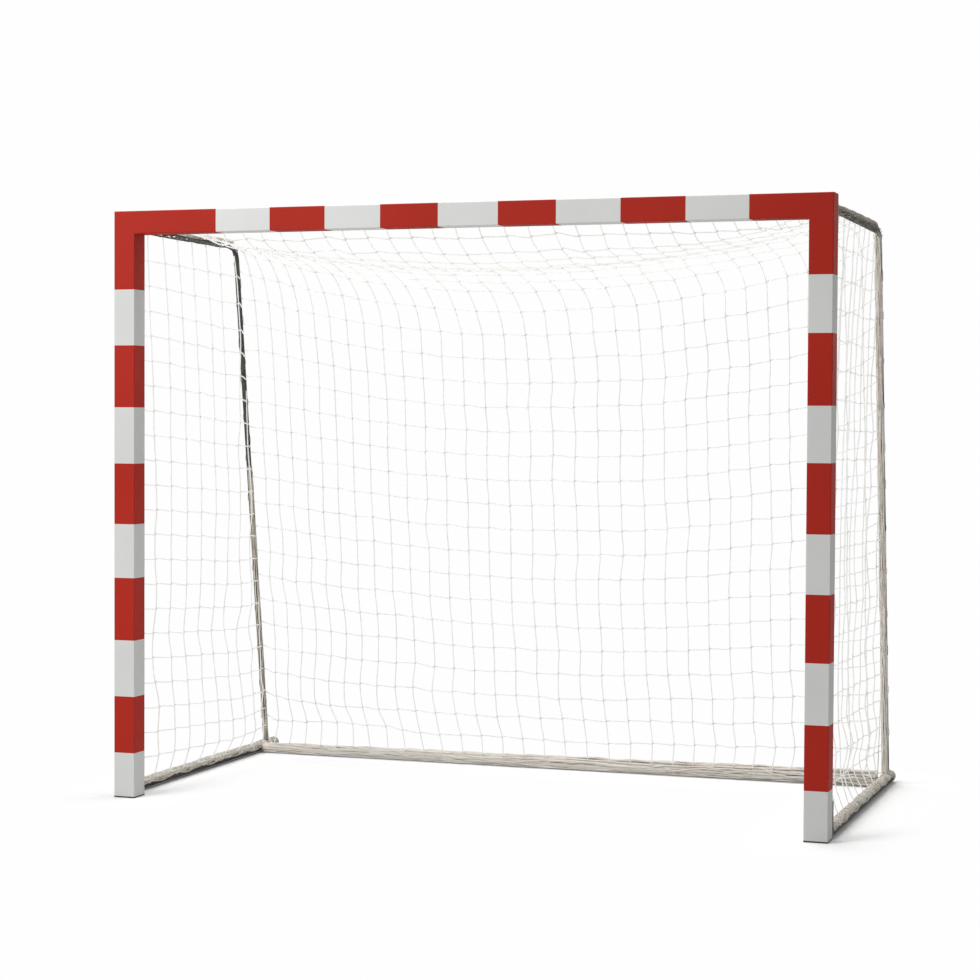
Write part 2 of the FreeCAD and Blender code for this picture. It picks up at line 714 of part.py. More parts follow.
def hung_net(label, start, end, rows, thick, hang):
    """A net between two level lines. hang(v) is how far its middle leaves their plane, v from 0 to 1.

    Both edges of a string are moved alike, so every face of a string is flat.
    """
    columns = int(cell("back_columns").value)
    reach = net_plane(1).value + net_cord / 2
    along = Vector(end - start).normalize()
    grid = []
    for column, edges in enumerate(net_stops(columns, 2 * reach)):
        place = sum(edges) / 2 / reach - 1
        share = 1 - place * place if 0 < column < columns else 0
        for across in edges:
            line = []
            for row, levels in enumerate(net_stops(rows, (end - start).Length)):
                moved = start + Vector(across - reach, 0, 0) + hang(row / rows) * share
                line += [moved + along * level for level in levels]
            grid.append(line)
    wide, tall = len(grid) - 1, len(grid[0]) - 1
    faces = []

    def is_string(i, j):
        return 0 <= i < wide and 0 <= j < tall and not (i % 2 and j % 2)

    def flat(points):
        faces.append(Part.Face(Part.makePolygon(points + points[:1])))

    for i in range(wide):
        for j in range(tall):
            if not is_string(i, j):
                continue
            ring = [(i, j), (i + 1, j), (i + 1, j + 1), (i, j + 1)]
            near = [grid[a][b] for a, b in ring]
            far = [point + thick for point in near]
            flat(near)
            flat(far)
            for k, (a, b) in enumerate([(i, j - 1), (i + 1, j), (i, j + 1), (i - 1, j)]):
                if not is_string(a, b):
                    flat([near[k], near[(k + 1) % 4], far[(k + 1) % 4], far[k]])
    shell = Part.Shell(faces)
    shell.sewShape()
    net = Part.Solid(Part.Shell(shell.Faces))
    if net.Volume < 0:
        net.reverse()
    return plain_feature(label, net)


def make_side_net(label, sign):
    """A side net, upright, from the post to the back net."""
    low = side_floor.value
    high = net_roof.value - net_cord / 2 - gap.value
    near = net_front.value
    across = net_plane(sign).value

    def corner(u, v):
        height = low + (high - low) * v
        far = back_line(height) - gap.value
        return Vector(across - net_cord / 2, near + (far - near) * u, height)

    face = net_face(corner, int(cell("side_columns").value), int(cell("net_rows").value))
    return plain_feature(label, face.extrude(Vector(net_cord, 0, 0)))


net_hang = Vector(0, -cell("net_draw").value, -cell("net_sag").value)


def make_top_net():
    """The top net, from the crossbar to the back net, level at the hoops and sagging between them."""
    start = Vector(0, net_front.value, net_roof.value - net_cord / 2)
    end = Vector(0, roof_rear - gap.value, start.z)
    return hung_net("top_net", start, end, int(cell("top_rows").value), Vector(0, 0, net_cord),
                    lambda v: net_hang * v ** 0.4)


def make_back_net():
    """The back net, from the rear bar up to the bend of the hoops, drawn forward in the middle."""
    low = rail_height.value + (wrap_radius + gap).value * math.sqrt(0.5)
    high = net_roof.value + net_cord / 2
    foot = Vector(0, back_line(low), low)
    head = Vector(0, back_line(high), high)
    outwards = Vector(1, 0, 0).cross(head - foot).normalize()
    outwards = outwards if outwards.y > 0 else -outwards
    return hung_net("back_net", foot, head, int(cell("net_rows").value), outwards * net_cord,
                    lambda v: Vector(0, net_hang.y if v > 0 else 0, net_hang.z * v ** 0.8))


def hook_outline(offset):
    """A net hook seen along its rail: foot in the groove, plate, arm and tip round the border."""
    groove = cell("groove_width").value / 2 - gap.value
    neck = cell("groove_mouth").value / 2 - gap.value
    rear = side.value
    lip = rear - cell("groove_lip").value - gap.value
    floor = rear - cell("groove_depth").value + gap.value
    plate = rear + cell("hook_plate").value
    near = net_front.value - gap.value
    far = net_front.value + cell("net_border").value + gap.value
    tip = far + cell("hook_tip").value
    slot = offset - net_cord / 2 - gap.value
    lug = offset + net_cord / 2
    wing = groove + gap.value
    return [(-groove, floor), (groove, floor), (groove, lip), (neck, lip), (neck, rear), (wing, rear),
            (wing, plate), (lug, plate), (lug, near), (slot, near), (slot, far), (lug, far), (lug, tip),
            (-neck, tip), (-neck, plate), (-wing, plate), (-wing, rear), (-neck, rear), (-neck, lip),
            (-groove, lip)]


def hook_levels(low, high, count):
    """Middles of the meshes along a border."""
    edge = cell("net_border").value
    share = (high - low - 2 * edge) / count
    return [low + edge + share * (k + 0.5) for k in range(count)]


def make_post_hooks(label, sign):
    """The net hooks in the groove of one post."""
    offset = sign * net_plane(sign).value - middle.value
    half = cell("hook_width").value / 2
    ring = [Vector(sign * (middle.value + u), v, -half) for u, v in hook_outline(offset)]
    hook = Part.Face(Part.makePolygon(ring + ring[:1])).extrude(Vector(0, 0, 2 * half))
    levels = hook_levels(side_floor.value, net_roof.value - net_cord / 2 - gap.value,
                         int(cell("net_rows").value))
    return plain_feature(label, Part.makeCompound([hook.translated(Vector(0, 0, z)) for z in levels]))


def make_crossbar_hooks():
    """The net hooks in the groove of the crossbar."""
    offset = bar_middle.value - net_roof.value
    half = cell("hook_width").value / 2
    ring = [Vector(-half, v, bar_middle.value - u) for u, v in hook_outline(offset)]
    hook = Part.Face(Part.makePolygon(ring + ring[:1])).extrude(Vector(2 * half, 0, 0))
    reach = net_plane(1).value + net_cord / 2
    places = hook_levels(-reach, reach, int(cell("back_columns").value))
    places = [x for x in places if abs(x) < inner.value - half]
    return plain_feature("crossbar_net_hooks",
                         Part.makeCompound([hook.translated(Vector(x, 0, 0)) for x in places]))


def tie_shape(place, direction):
    """A flat cord tied once round the hoop, as a twelve-sided ring."""
    count = 12
    flat = math.cos(math.pi / count)
    inside = (hoop_radius + gap).value / flat
    outside = (hoop_radius + gap + cell("tie_thick")).value
    half = cell("tie_width").value / 2

    def ring(radius):
        turns = [2 * math.pi * (k + 0.5) / count for k in range(count + 1)]
        return Part.makePolygon([Vector(radius * math.cos(a), radius * math.sin(a), -half) for a in turns])

    face = Part.makeFace([ring(outside), ring(inside)], "Part::FaceMakerBullseye")
    tie = face.extrude(Vector(0, 0, 2 * half))
    tie.Placement = Placement(place, Rotation(Vector(0, 0, 1), direction))
    return tie


def make_hoop_ties(label, sign):
    """Ties at even steps along the top run and the upright of one hoop."""
    across = sign * tube_line.value
    corner = Vector(across, cell("hoop_top_reach").value, hoop_height.value)
    foot = Vector(across, foot_reach.value, rail_height.value)
    start = Vector(across, net_front.value, hoop_height.value)
    down = (foot - corner).normalize()
    cut = cell("hoop_bend").value * math.tan((math.pi / 2 - hoop_lean) / 2)
    runs = [(start, corner - Vector(0, cut, 0), int(cell("top_ties").value)),
            (corner + down * cut, foot - down * (rail_radius + cell("spigot_length")).value,
             int(cell("upright_ties").value))]
    ties = []
    for near, far, count in runs:
        step = (far - near) / count
        ties += [tie_shape(near + step * (k + 0.5), far - near) for k in range(count)]
    return plain_feature(label, Part.makeCompound(ties))


def make_rail_wrap(label, sign):
    """The lower edge of the side net, rolled round the ground rail."""
    radius = rail_radius + gap + cell("wrap_thick")
    start = plate_rear + cell("wrap_margin")
    end = bar_reach - bar_radius - cell("wrap_margin")
    return straight_tube(label, "XZ_Plane", -end, (sign * tube_line, rail_height), radius,
                         cell("wrap_thick"), end - start)


def make_bar_wrap():
    """The lower edge of the back net, rolled round the rear bar."""
    half = lock_line - cell("bolt_head") - cell("wrap_margin")
    return straight_tube("rear_bar_net_wrap", "YZ_Plane", -half, (bar_reach, rail_height),
                         wrap_radius, cell("wrap_thick"), 2 * half)


def make_all():
    """Every piece of the goal, in a list."""
    pieces = [make_crossbar(), make_rear_bar()]
    for name, sign in SIDES:
        pieces += [make_post(name + "_post", sign),
                   make_corner_bracket(name + "_corner_bracket", sign),
                   make_foot_cap(name + "_foot_cap", sign),
                   make_hoop(name + "_net_hoop", sign),
                   make_hoop_plate(name + "_hoop_plate", sign),
                   make_rail_plate(name + "_rail_plate", sign),
                   make_nut_plate(name + "_nut_plate", sign),
                   make_rail(name + "_ground_rail", sign),
                   make_bar_spigot(name + "_bar_spigot", sign),
                   make_hoop_spigot(name + "_hoop_spigot", sign),
                   make_rail_cap(name + "_rail_cap", sign),
                   make_side_net(name + "_side_net", sign),
                   make_post_hooks(name + "_post_net_hooks", sign),
                   make_hoop_ties(name + "_hoop_net_ties", sign),
                   make_rail_wrap(name + "_rail_net_wrap", sign)]
    seat = plate_rear
    hoop_places = [spot for _, sign in SIDES for spot in hoop_bolts(sign)]
    rail_places = [spot for _, sign in SIDES for spot in rail_bolts(sign)]
    corner_places = [spot for _, sign in SIDES for spot in corner_screws(sign) + crossbar_screws(sign)]
    grip = cell("bolt_length")
    pieces += [bolt_group("hoop_plate_bolts", seat, hoop_places, grip),
               bolt_group("rail_plate_bolts", seat, rail_places, grip),
               bolt_group("corner_bracket_screws", side, corner_places, grip - cell("plate_thick")),
               make_bar_screws(), make_top_net(), make_back_net(), make_crossbar_hooks(), make_bar_wrap()]
    return pieces


def write_parts(pieces):
    """Check every object of the document, then write one STEP file per piece."""
    doc.recompute()
    for item in doc.Objects:
        if "Invalid" in item.State or "Error" in item.State:
            raise RuntimeError("%s failed: %s" % (item.Label, item.State))
    for piece in pieces:
        if piece.Shape.isNull() or not piece.Shape.isValid():
            raise RuntimeError("%s has no valid shape" % piece.Label)
    os.makedirs("parts", exist_ok=True)
    for piece in pieces:
        piece.Shape.exportStep("parts/%s.step" % piece.Label)
        print("%-26s %2d solid(s) %12.0f mm3" % (piece.Label, len(piece.Shape.Solids), piece.Shape.Volume))


write_parts(make_all())
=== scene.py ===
import math

import bpy
import numpy as np
from mathutils import Matrix, Vector


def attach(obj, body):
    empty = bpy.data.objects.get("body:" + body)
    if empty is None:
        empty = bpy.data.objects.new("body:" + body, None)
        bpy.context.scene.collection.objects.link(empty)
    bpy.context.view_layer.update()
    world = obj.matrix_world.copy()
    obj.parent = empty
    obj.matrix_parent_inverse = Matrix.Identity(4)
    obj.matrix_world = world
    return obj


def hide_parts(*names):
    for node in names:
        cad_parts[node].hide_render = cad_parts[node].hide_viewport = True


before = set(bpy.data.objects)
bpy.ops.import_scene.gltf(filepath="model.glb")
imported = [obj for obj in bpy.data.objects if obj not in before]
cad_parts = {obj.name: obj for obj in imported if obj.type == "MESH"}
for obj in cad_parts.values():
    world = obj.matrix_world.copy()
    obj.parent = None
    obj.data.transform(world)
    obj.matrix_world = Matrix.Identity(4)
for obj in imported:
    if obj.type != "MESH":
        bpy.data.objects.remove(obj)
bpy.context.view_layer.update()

# The photograph: taken at chest height, from in front and to the right of the goal, with a long lens
# that keeps the verticals nearly upright. Angles are in radians, the lens in points of the picture.
stand = Vector((2.6244492, -7.9269021, 1.3548740))
pan, tilt, roll, lens_px = -0.3312210, -0.0311715, 0.0051258, 2291.2733
picture_px, sensor_mm = 980, 36
ahead = Vector((math.sin(pan) * math.cos(tilt), math.cos(pan) * math.cos(tilt), math.sin(tilt)))
flat = Vector((math.cos(pan), -math.sin(pan), 0))
over = flat.cross(ahead)
across = math.cos(roll) * flat + math.sin(roll) * over
upward = math.cos(roll) * over - math.sin(roll) * flat
camera = bpy.data.objects.new("camera", bpy.data.cameras.new("camera"))
camera.data.sensor_width = sensor_mm
camera.data.lens = sensor_mm * lens_px / picture_px
camera.data.clip_end = 200
camera.matrix_world = Matrix.Translation(stand) @ Matrix((across, upward, -ahead)).transposed().to_4x4()
bpy.context.scene.collection.objects.link(camera)
bpy.context.scene.camera = camera
bpy.context.scene.view_settings.view_transform = "Standard"


def add(tree, kind, inputs=None, **settings):
    """Adds a node. An input is a value, the output that feeds it, or a node, for its first output."""
    made = tree.nodes.new(kind)
    for name, value in settings.items():
        setattr(made, name, value)
    for place, value in (inputs or {}).items():
        if isinstance(value, bpy.types.Node):
            value = value.outputs[0]
        if isinstance(value, bpy.types.NodeSocket):
            tree.links.new(value, made.inputs[place])
        else:
            made.inputs[place].default_value = value
    return made


# The studio: a white room without corners, which the camera and the metal see as plain white, and a
# pale floor that keeps the soft shadow of the goal.
paper_white, room_light = 0.992, 0.33
world = bpy.data.worlds.new("white_studio")
bpy.context.scene.world = world
world.use_nodes = True
tree = world.node_tree
tree.nodes.clear()
ray = add(tree, "ShaderNodeLightPath")
seen = add(tree, "ShaderNodeMath", {0: ray.outputs["Is Camera Ray"], 1: ray.outputs["Is Glossy Ray"]},
           operation="MAXIMUM")
seen = add(tree, "ShaderNodeMath", {0: seen, 1: ray.outputs["Is Transmission Ray"]},
           operation="MAXIMUM")
room = add(tree, "ShaderNodeBackground", {"Color": (1, 1, 1, 1), "Strength": room_light})
white = add(tree, "ShaderNodeBackground", {"Color": (1, 1, 1, 1), "Strength": paper_white})
mixed = add(tree, "ShaderNodeMixShader", {0: seen, 1: room, 2: white})
add(tree, "ShaderNodeOutputWorld", {"Surface": mixed})


def softbox(name, place, aim, size, watts):
    lamp = bpy.data.lights.new(name, "AREA")
    lamp.shape = "RECTANGLE"
    lamp.size, lamp.size_y = size
    lamp.energy = watts
    box = bpy.data.objects.new(name, lamp)
    turn = (Vector(aim) - Vector(place)).to_track_quat("-Z", "Y")
    box.matrix_world = Matrix.Translation(place) @ turn.to_matrix().to_4x4()
    bpy.context.scene.collection.objects.link(box)


# a key high at the front left, and a wide one over the middle of the net
softboxes = (("key_softbox", (-3.5, -4.8, 4.8), (-0.7, -0.4, 1.6), (3.0, 3.0), 242),
             ("top_softbox", (-0.2, 0.5, 5.6), (-0.2, 0.3, 0), (3.6, 3.6), 150))
for lamp in softboxes:
    softbox(*lamp)

# the sheet of paper lies a hair below the feet
paper_half, paper_z = 30, -0.0004
sheet = bpy.data.meshes.new("studio_floor")
turns = (-1, -1), (1, -1), (1, 1), (-1, 1)
corners = [(paper_half * x, paper_half * y, paper_z) for x, y in turns]
sheet.from_pydata(corners, [], [(0, 1, 2, 3)])
floor = bpy.data.objects.new("studio_floor", sheet)
bpy.context.scene.collection.objects.link(floor)
floor_paper = bpy.data.materials.new("white_studio_paper")
floor_paper.use_nodes = True
tree = floor_paper.node_tree
tree.nodes.clear()
ray = add(tree, "ShaderNodeLightPath")
seen = add(tree, "ShaderNodeMath", {0: ray.outputs["Is Camera Ray"],
                                    1: ray.outputs["Is Transmission Ray"]}, operation="MAXIMUM")
paper = add(tree, "ShaderNodeBsdfDiffuse", {"Color": (0.72, 0.72, 0.72, 1)})
# the camera sees the paper as evenly white as a lit studio sweep: its white is divided by the light
# that the room and both softboxes give it at each place, so that only the shadows are left
light = add(tree, "ShaderNodeValue")
light.outputs[0].default_value = room_light
place = add(tree, "ShaderNodeTexCoord")
for name, stands, aim, size, watts in softboxes:
    facing = (Vector(aim) - Vector(stands)).normalized()
    way = add(tree, "ShaderNodeVectorMath", {0: place.outputs["Object"], 1: stands},
              operation="SUBTRACT")
    long = add(tree, "ShaderNodeVectorMath", {0: way}, operation="LENGTH")
    along = add(tree, "ShaderNodeVectorMath", {0: way, 1: facing}, operation="DOT_PRODUCT")
    along = add(tree, "ShaderNodeMath", {0: along.outputs["Value"], 1: 0.0}, operation="MAXIMUM")
    fourth = add(tree, "ShaderNodeMath", {0: long.outputs["Value"], 1: 4.0}, operation="POWER")
    part = add(tree, "ShaderNodeMath", {0: along, 1: fourth}, operation="DIVIDE")
    light = add(tree, "ShaderNodeMath", {0: part, 1: watts * stands[2] / math.pi ** 2,
                                         2: light}, operation="MULTIPLY_ADD")
# round the goal the paper is a little over white, which takes up the faint shade of the strings
far = add(tree, "ShaderNodeVectorMath", {0: place.outputs["Object"]}, operation="LENGTH")
level = add(tree, "ShaderNodeMapRange", {"Value": far.outputs["Value"], "From Min": 1.6, "From Max": 4.5,
                                         "To Min": 1.17, "To Max": 1.0})
even = add(tree, "ShaderNodeMath", {0: level, 1: light}, operation="DIVIDE")
bright = add(tree, "ShaderNodeBsdfDiffuse", {"Color": even})
# as in a cut-out picture, the shadow stays near the rails, the rear bar and the feet and fades to
# plain white: the rails lie rail_out from the middle, the ends at end_out, and the bar at bar_back
rail_out, end_out, bar_back, shadow_near, shadow_far = 1.264, 0.675, 0.515, 0.03, 0.30
split = add(tree, "ShaderNodeSeparateXYZ", {0: place.outputs["Object"]})
wide = add(tree, "ShaderNodeMath", {0: split.outputs["X"]}, operation="ABSOLUTE")
aside = add(tree, "ShaderNodeMath", {0: wide, 1: rail_out}, operation="SUBTRACT")
past = add(tree, "ShaderNodeMath", {0: aside, 1: 0.0}, operation="MAXIMUM")
deep = add(tree, "ShaderNodeMath", {0: split.outputs["Y"]}, operation="ABSOLUTE")
deep = add(tree, "ShaderNodeMath", {0: deep, 1: end_out}, operation="SUBTRACT")
deep = add(tree, "ShaderNodeMath", {0: deep, 1: 0.0}, operation="MAXIMUM")
behind = add(tree, "ShaderNodeMath", {0: split.outputs["Y"], 1: bar_back}, operation="SUBTRACT")
near = []
for one, other in ((aside, deep), (behind, past)):
    way = add(tree, "ShaderNodeCombineXYZ", {0: one, 1: other})
    near.append(add(tree, "ShaderNodeVectorMath", {0: way}, operation="LENGTH"))
nearest = add(tree, "ShaderNodeMath", {0: near[0].outputs["Value"], 1: near[1].outputs["Value"]},
              operation="MINIMUM")
fade = add(tree, "ShaderNodeMapRange", {"Value": nearest, "From Min": shadow_near,
                                        "From Max": shadow_far}, interpolation_type="SMOOTHSTEP")
plain = add(tree, "ShaderNodeEmission", {"Color": (1, 1, 1, 1), "Strength": paper_white})
faded = add(tree, "ShaderNodeMixShader", {0: fade, 1: bright, 2: plain})
mixed = add(tree, "ShaderNodeMixShader", {0: seen, 1: paper, 2: faded})
add(tree, "ShaderNodeOutputMaterial", {"Surface": mixed})
# the plain white is only for what the camera sees, so it isn't a lamp
floor_paper.cycles.emission_sampling = "NONE"
floor.data.materials.append(floor_paper)


# The goal mouth: two posts and a crossbar of 80 mm square aluminium section, mitred at the corners,
# powder coated white and then red in bands over masking tape.
def linear(colour):
    values = [int(colour[i : i + 2], 16) / 255 for i in (1, 3, 5)]
    return (*[v / 12.92 if v <= 0.04045 else ((v + 0.055) / 1.055) ** 2.4 for v in values], 1)


def finish(name, values):
    made = bpy.data.materials.new(name)
    made.use_nodes = True
    tree = made.node_tree
    tree.nodes.clear()
    coat = add(tree, "ShaderNodeBsdfPrincipled", values)
    add(tree, "ShaderNodeOutputMaterial", {"Surface": coat})
    return made, tree, coat


def dress(names, material):
    for name in names:
        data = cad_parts[name].data
        data.materials.clear()
        data.materials.append(material)


def banded_section(name, white, axis, low, red_first, edges, centre):
    """Powder coat in bands: a matt, even colour with crisp edges, which are metres from low."""
    made, tree, coat = finish(name, {"IOR": 1.5, "Specular IOR Level": 0.16})
    place = add(tree, "ShaderNodeTexCoord")
    split = add(tree, "ShaderNodeSeparateXYZ", {0: place.outputs["Object"]})
    # each edge that lies below adds one, and odd and even counts have the two colours in turn
    count = None
    for edge in edges:
        past = add(tree, "ShaderNodeMath", {0: split.outputs[axis], 1: low + edge},
                   operation="GREATER_THAN")
        if count:
            past = add(tree, "ShaderNodeMath", {0: count, 1: past}, operation="ADD")
        count = past
    odd = add(tree, "ShaderNodeMath", {0: count, 1: 1.0}, operation="PINGPONG")
    colours = [linear(white), linear("#b22819")]
    if red_first:
        colours.reverse()
    bands = add(tree, "ShaderNodeMix", {0: odd, 6: colours[0], 7: colours[1]}, data_type="RGBA")
    # handling leaves broad faint clouds in the coat, about 0.3 m across
    darker, lighter = 0.955, 1.02
    cloud = add(tree, "ShaderNodeTexNoise", {"Vector": place.outputs["Object"], "Scale": 3.4,
                                             "Detail": 3.0})
    cloud = add(tree, "ShaderNodeMapRange", {"Value": cloud, "From Min": 0.3, "From Max": 0.7,
                                             "To Min": darker, "To Max": lighter})
    # short scuffs of about 10 mm show the grey metal along the arrises, where balls and sticks hit
    scuff = add(tree, "ShaderNodeTexNoise", {"Vector": place.outputs["Object"], "Scale": 95.0,
                                             "Detail": 4.0, "Roughness": 0.7})
    # an arris is 40 mm from the middle of the section both ways; one middle serves both posts
    off = []
    for part, middle in centre:
        way = split.outputs[part]
        if part == "X":
            way = add(tree, "ShaderNodeMath", {0: way}, operation="ABSOLUTE")
        shift = add(tree, "ShaderNodeMath", {0: way, 1: middle}, operation="SUBTRACT")
        off.append(add(tree, "ShaderNodeMath", {0: shift}, operation="ABSOLUTE"))
    arris = add(tree, "ShaderNodeMath", {0: off[0], 1: off[1]}, operation="MINIMUM")
    arris = add(tree, "ShaderNodeMapRange", {"Value": arris, "From Min": 0.0372,
                                             "From Max": 0.0392})
    worn = add(tree, "ShaderNodeMapRange", {"Value": scuff, "From Min": 0.60, "From Max": 0.66})
    worn = add(tree, "ShaderNodeMath", {0: worn, 1: arris}, operation="MULTIPLY")
    toned = add(tree, "ShaderNodeVectorMath", {0: bands.outputs[2], "Scale": cloud},
                operation="SCALE")
    shown = add(tree, "ShaderNodeMix", {0: worn, 6: toned, 7: linear("#8d8f8e")}, data_type="RGBA")
    tree.links.new(shown.outputs[2], coat.inputs["Base Color"])
    # orange peel of the sprayed powder, waves of about 2 mm
    peel = add(tree, "ShaderNodeTexNoise", {"Vector": place.outputs["Object"], "Scale": 480.0,
                                            "Detail": 1.0})
    relief = add(tree, "ShaderNodeBump", {"Height": peel, "Strength": 0.05, "Distance": 0.0004})
    tree.links.new(relief.outputs[0], coat.inputs["Normal"])
    # handled places are darker and duller
    dull = add(tree, "ShaderNodeMapRange", {"Value": cloud, "From Min": darker,
                                            "From Max": lighter, "To Min": 0.64, "To Max": 0.54})
    tree.links.new(dull.outputs[0], coat.inputs["Roughness"])
    return made


crossbar_length, post_middle, bar_middle = 2.56, (1.24, -0.635), 2.04
# one powder coat, painted in three whites as painted light: lightest on the crossbar, then the right
# post, then the left post
dress(["left_post"], banded_section(
    "powder_coat_left_post", "#dcddda", "Z", 0, False,
    (0.160, 0.361, 0.561, 0.783, 0.974, 1.189, 1.388, 1.607, 1.804),
    (("X", post_middle[0]), ("Y", post_middle[1]))))
dress(["right_post"], banded_section(
    "powder_coat_right_post", "#dfe0dd", "Z", 0, False,
    (0.166, 0.378, 0.577, 0.797, 0.990, 1.218, 1.401, 1.633, 1.819),
    (("X", post_middle[0]), ("Y", post_middle[1]))))
dress(["crossbar"], banded_section(
    "powder_coat_crossbar", "#e4e5e2", "X", -crossbar_length / 2, True,
    (0.396, 0.601, 0.807, 1.011, 1.220, 1.433, 1.636, 1.857, 2.076, 2.286),
    (("Y", post_middle[1]), ("Z", bar_middle))))


# Foot caps and corner brackets: the caps are moulded polyethylene plugs that close the posts and
# stand on the floor. The brackets are cast aluminium and sit inside the mitres.
def mottled(name, one, other, scale, detail, relief, values):
    """Two tones in spots of 1 / scale metres, with the strength and the metres of their relief."""
    made, tree, coat = finish(name, values)
    place = add(tree, "ShaderNodeTexCoord")
    spots = add(tree, "ShaderNodeTexNoise", {"Vector": place.outputs["Object"], "Scale": scale,
                                             "Detail": detail})
    tint = add(tree, "ShaderNodeMix", {0: spots, 6: linear(one), 7: linear(other)},
               data_type="RGBA")
    tree.links.new(tint.outputs[2], coat.inputs["Base Color"])
    if relief:
        bump = add(tree, "ShaderNodeBump", {"Height": spots, "Strength": relief[0],
                                            "Distance": relief[1]})
        tree.links.new(bump.outputs[0], coat.inputs["Normal"])
    return made


# black-grey plastic with 17 mm spots of dust from the floor
moulded_foot = mottled("moulded_polyethylene_foot", "#444444", "#2b2b2b", 60.0, 4.0, (0.2, 0.0006),
                       {"Roughness": 0.55, "IOR": 1.5})
dress(["left_foot_cap", "right_foot_cap"], moulded_foot)
# the sand mould leaves a dull skin with a grain of 1.4 mm
cast_bracket = mottled("cast_aluminium_bracket", "#a3a4a3", "#868786", 700.0, 2.0, (0.4, 0.0005),
                       {"Metallic": 1.0, "Roughness": 0.5})
dress(["left_corner_bracket", "right_corner_bracket"], cast_bracket)


# The rear frame: two bent net hoops, two ground rails and the rear bar, all round steel tube,
# dip galvanised and by now dull and dark. Pressed plates and spigots join them to the posts.
def galvanised(name, light, dark, roughness, metal):
    made, tree, coat = finish(name, {"Metallic": metal})
    place = add(tree, "ShaderNodeTexCoord")
    # zinc spangle of about 9 mm, and soot-like weathering in clouds of about 70 mm
    spangle = add(tree, "ShaderNodeTexVoronoi", {"Vector": place.outputs["Object"], "Scale": 110.0})
    weather = add(tree, "ShaderNodeTexNoise", {"Vector": place.outputs["Object"], "Scale": 14.0,
                                               "Detail": 5.0})
    both = add(tree, "ShaderNodeMath", {0: spangle.outputs["Color"], 1: 0.35, 2: weather},
               operation="MULTIPLY_ADD")
    even = add(tree, "ShaderNodeMapRange", {"Value": both, "From Min": 0.35, "From Max": 0.95})
    tint = add(tree, "ShaderNodeMix", {0: even, 6: linear(dark), 7: linear(light)},
               data_type="RGBA")
    tree.links.new(tint.outputs[2], coat.inputs["Base Color"])
    dull = add(tree, "ShaderNodeMapRange", {"Value": even, "To Min": roughness + 0.12,
                                            "To Max": roughness - 0.06})
    tree.links.new(dull.outputs[0], coat.inputs["Roughness"])
    relief = add(tree, "ShaderNodeBump", {"Height": weather, "Strength": 0.12, "Distance": 0.0008})
    tree.links.new(relief.outputs[0], coat.inputs["Normal"])
    return made


# old zinc is dull, and brighter on plates and bolts. The rails' tube is painted nearly black, as painted
# shade along their undersides, and the bar's tube pale, as painted light in the gaps of its wrap
tube_zinc = galvanised("dull_galvanised_tube", "#56554f", "#302f2b", 0.50, 0.45)
rail_zinc_painted_shade = galvanised("galvanised_tube_painted_shade", "#3f3d38", "#1f1e1b", 0.62, 0.25)
bar_zinc_painted_light = galvanised("galvanised_tube_painted_light", "#b9b4aa", "#8d877c", 0.62, 0.15)
plate_zinc = galvanised("galvanised_plate", "#8b8b86", "#62625d", 0.42, 0.72)
bolt_zinc = galvanised("bright_zinc_bolt", "#b0b0ab", "#83837e", 0.34, 0.85)
dress(["left_net_hoop", "right_net_hoop", "left_bar_spigot", "right_bar_spigot", "left_hoop_spigot",
       "right_hoop_spigot"], tube_zinc)
dress(["left_ground_rail", "right_ground_rail"], rail_zinc_painted_shade)
dress(["rear_ground_bar"], bar_zinc_painted_light)
dress(["left_hoop_plate", "right_hoop_plate", "left_rail_plate", "right_rail_plate", "left_nut_plate",
       "right_nut_plate"], plate_zinc)
dress(["hoop_plate_bolts", "rail_plate_bolts", "corner_bracket_screws", "bar_lock_screws"], bolt_zinc)

# Rail caps: moulded polyethylene, warm grey with 12 mm spots of dirt, pressed over the rear ends of
# the ground rails.
rail_cap = mottled("moulded_polyethylene_cap", "#c4bdb1", "#938c80", 85.0, 5.0, (0.25, 0.0008),
                   {"Roughness": 0.5, "IOR": 1.5})
dress(["left_rail_cap", "right_rail_cap"], rail_cap)

# Net hooks: small moulded nylon hooks that slide in the rear groove of the posts and crossbar and
# hold the border cord of the net. Nylon is milky, so light goes a little way into it.
nylon_hook = mottled("moulded_nylon_hook", "#e4e4de", "#cfcfc7", 130.0, 2.0, None,
                     {"Roughness": 0.42, "IOR": 1.53, "Subsurface Weight": 0.1,
                      "Subsurface Scale": 0.002})
dress(["left_post_net_hooks", "right_post_net_hooks", "crossbar_net_hooks"], nylon_hook)


# The net: knotted white polyethylene twine, one piece from the crossbar back over the hoops and down
# to the rear bar, and a panel at each side. It is hung here knot by knot: strings don't stretch,
# gravity and the old set of the twine draw the middle down and forward, and the edges are tied.
def relax_net(knots, tied, strings, lengths, pull, steps):
    """strings are (kind, knot numbers), kind 0 across and 1 down; lengths are the gaps of each."""
    # each step keeps most of the speed and mends the gaps in sweeps; a pushed string mostly gives way
    kept_speed, sweeps, squeeze = 0.985, 6, 0.3
    sets = [[], [], [], []]
    for (kind, line), gaps in zip(strings, lengths):
        for i, gap in enumerate(gaps):
            sets[2 * kind + i % 2].append((line[i], line[i + 1], gap))
    loose = np.where(tied, 0.0, 1.0)
    links = []
    for group in sets:
        a, b = np.array([g[0] for g in group]), np.array([g[1] for g in group])
        share = np.maximum(loose[a] + loose[b], 1)
        links.append((a, b, np.array([g[2] for g in group]), (loose[a] / share)[:, None],
                      (loose[b] / share)[:, None]))
    before = knots.copy()
    for _ in range(steps):
        ahead_of = knots + (knots - before) * kept_speed * loose[:, None] + pull * loose[:, None]
        before, knots = knots, ahead_of
        for _ in range(sweeps):
            for a, b, gap, of_a, of_b in links:
                run = knots[b] - knots[a]
                long = np.linalg.norm(run, axis=1)
                spare = (long - gap) / np.maximum(long, 1e-9)
                spare = np.where(spare < 0, spare * squeeze, spare)[:, None] * run
                knots[a] += spare * of_a
                knots[b] -= spare * of_b
    return knots


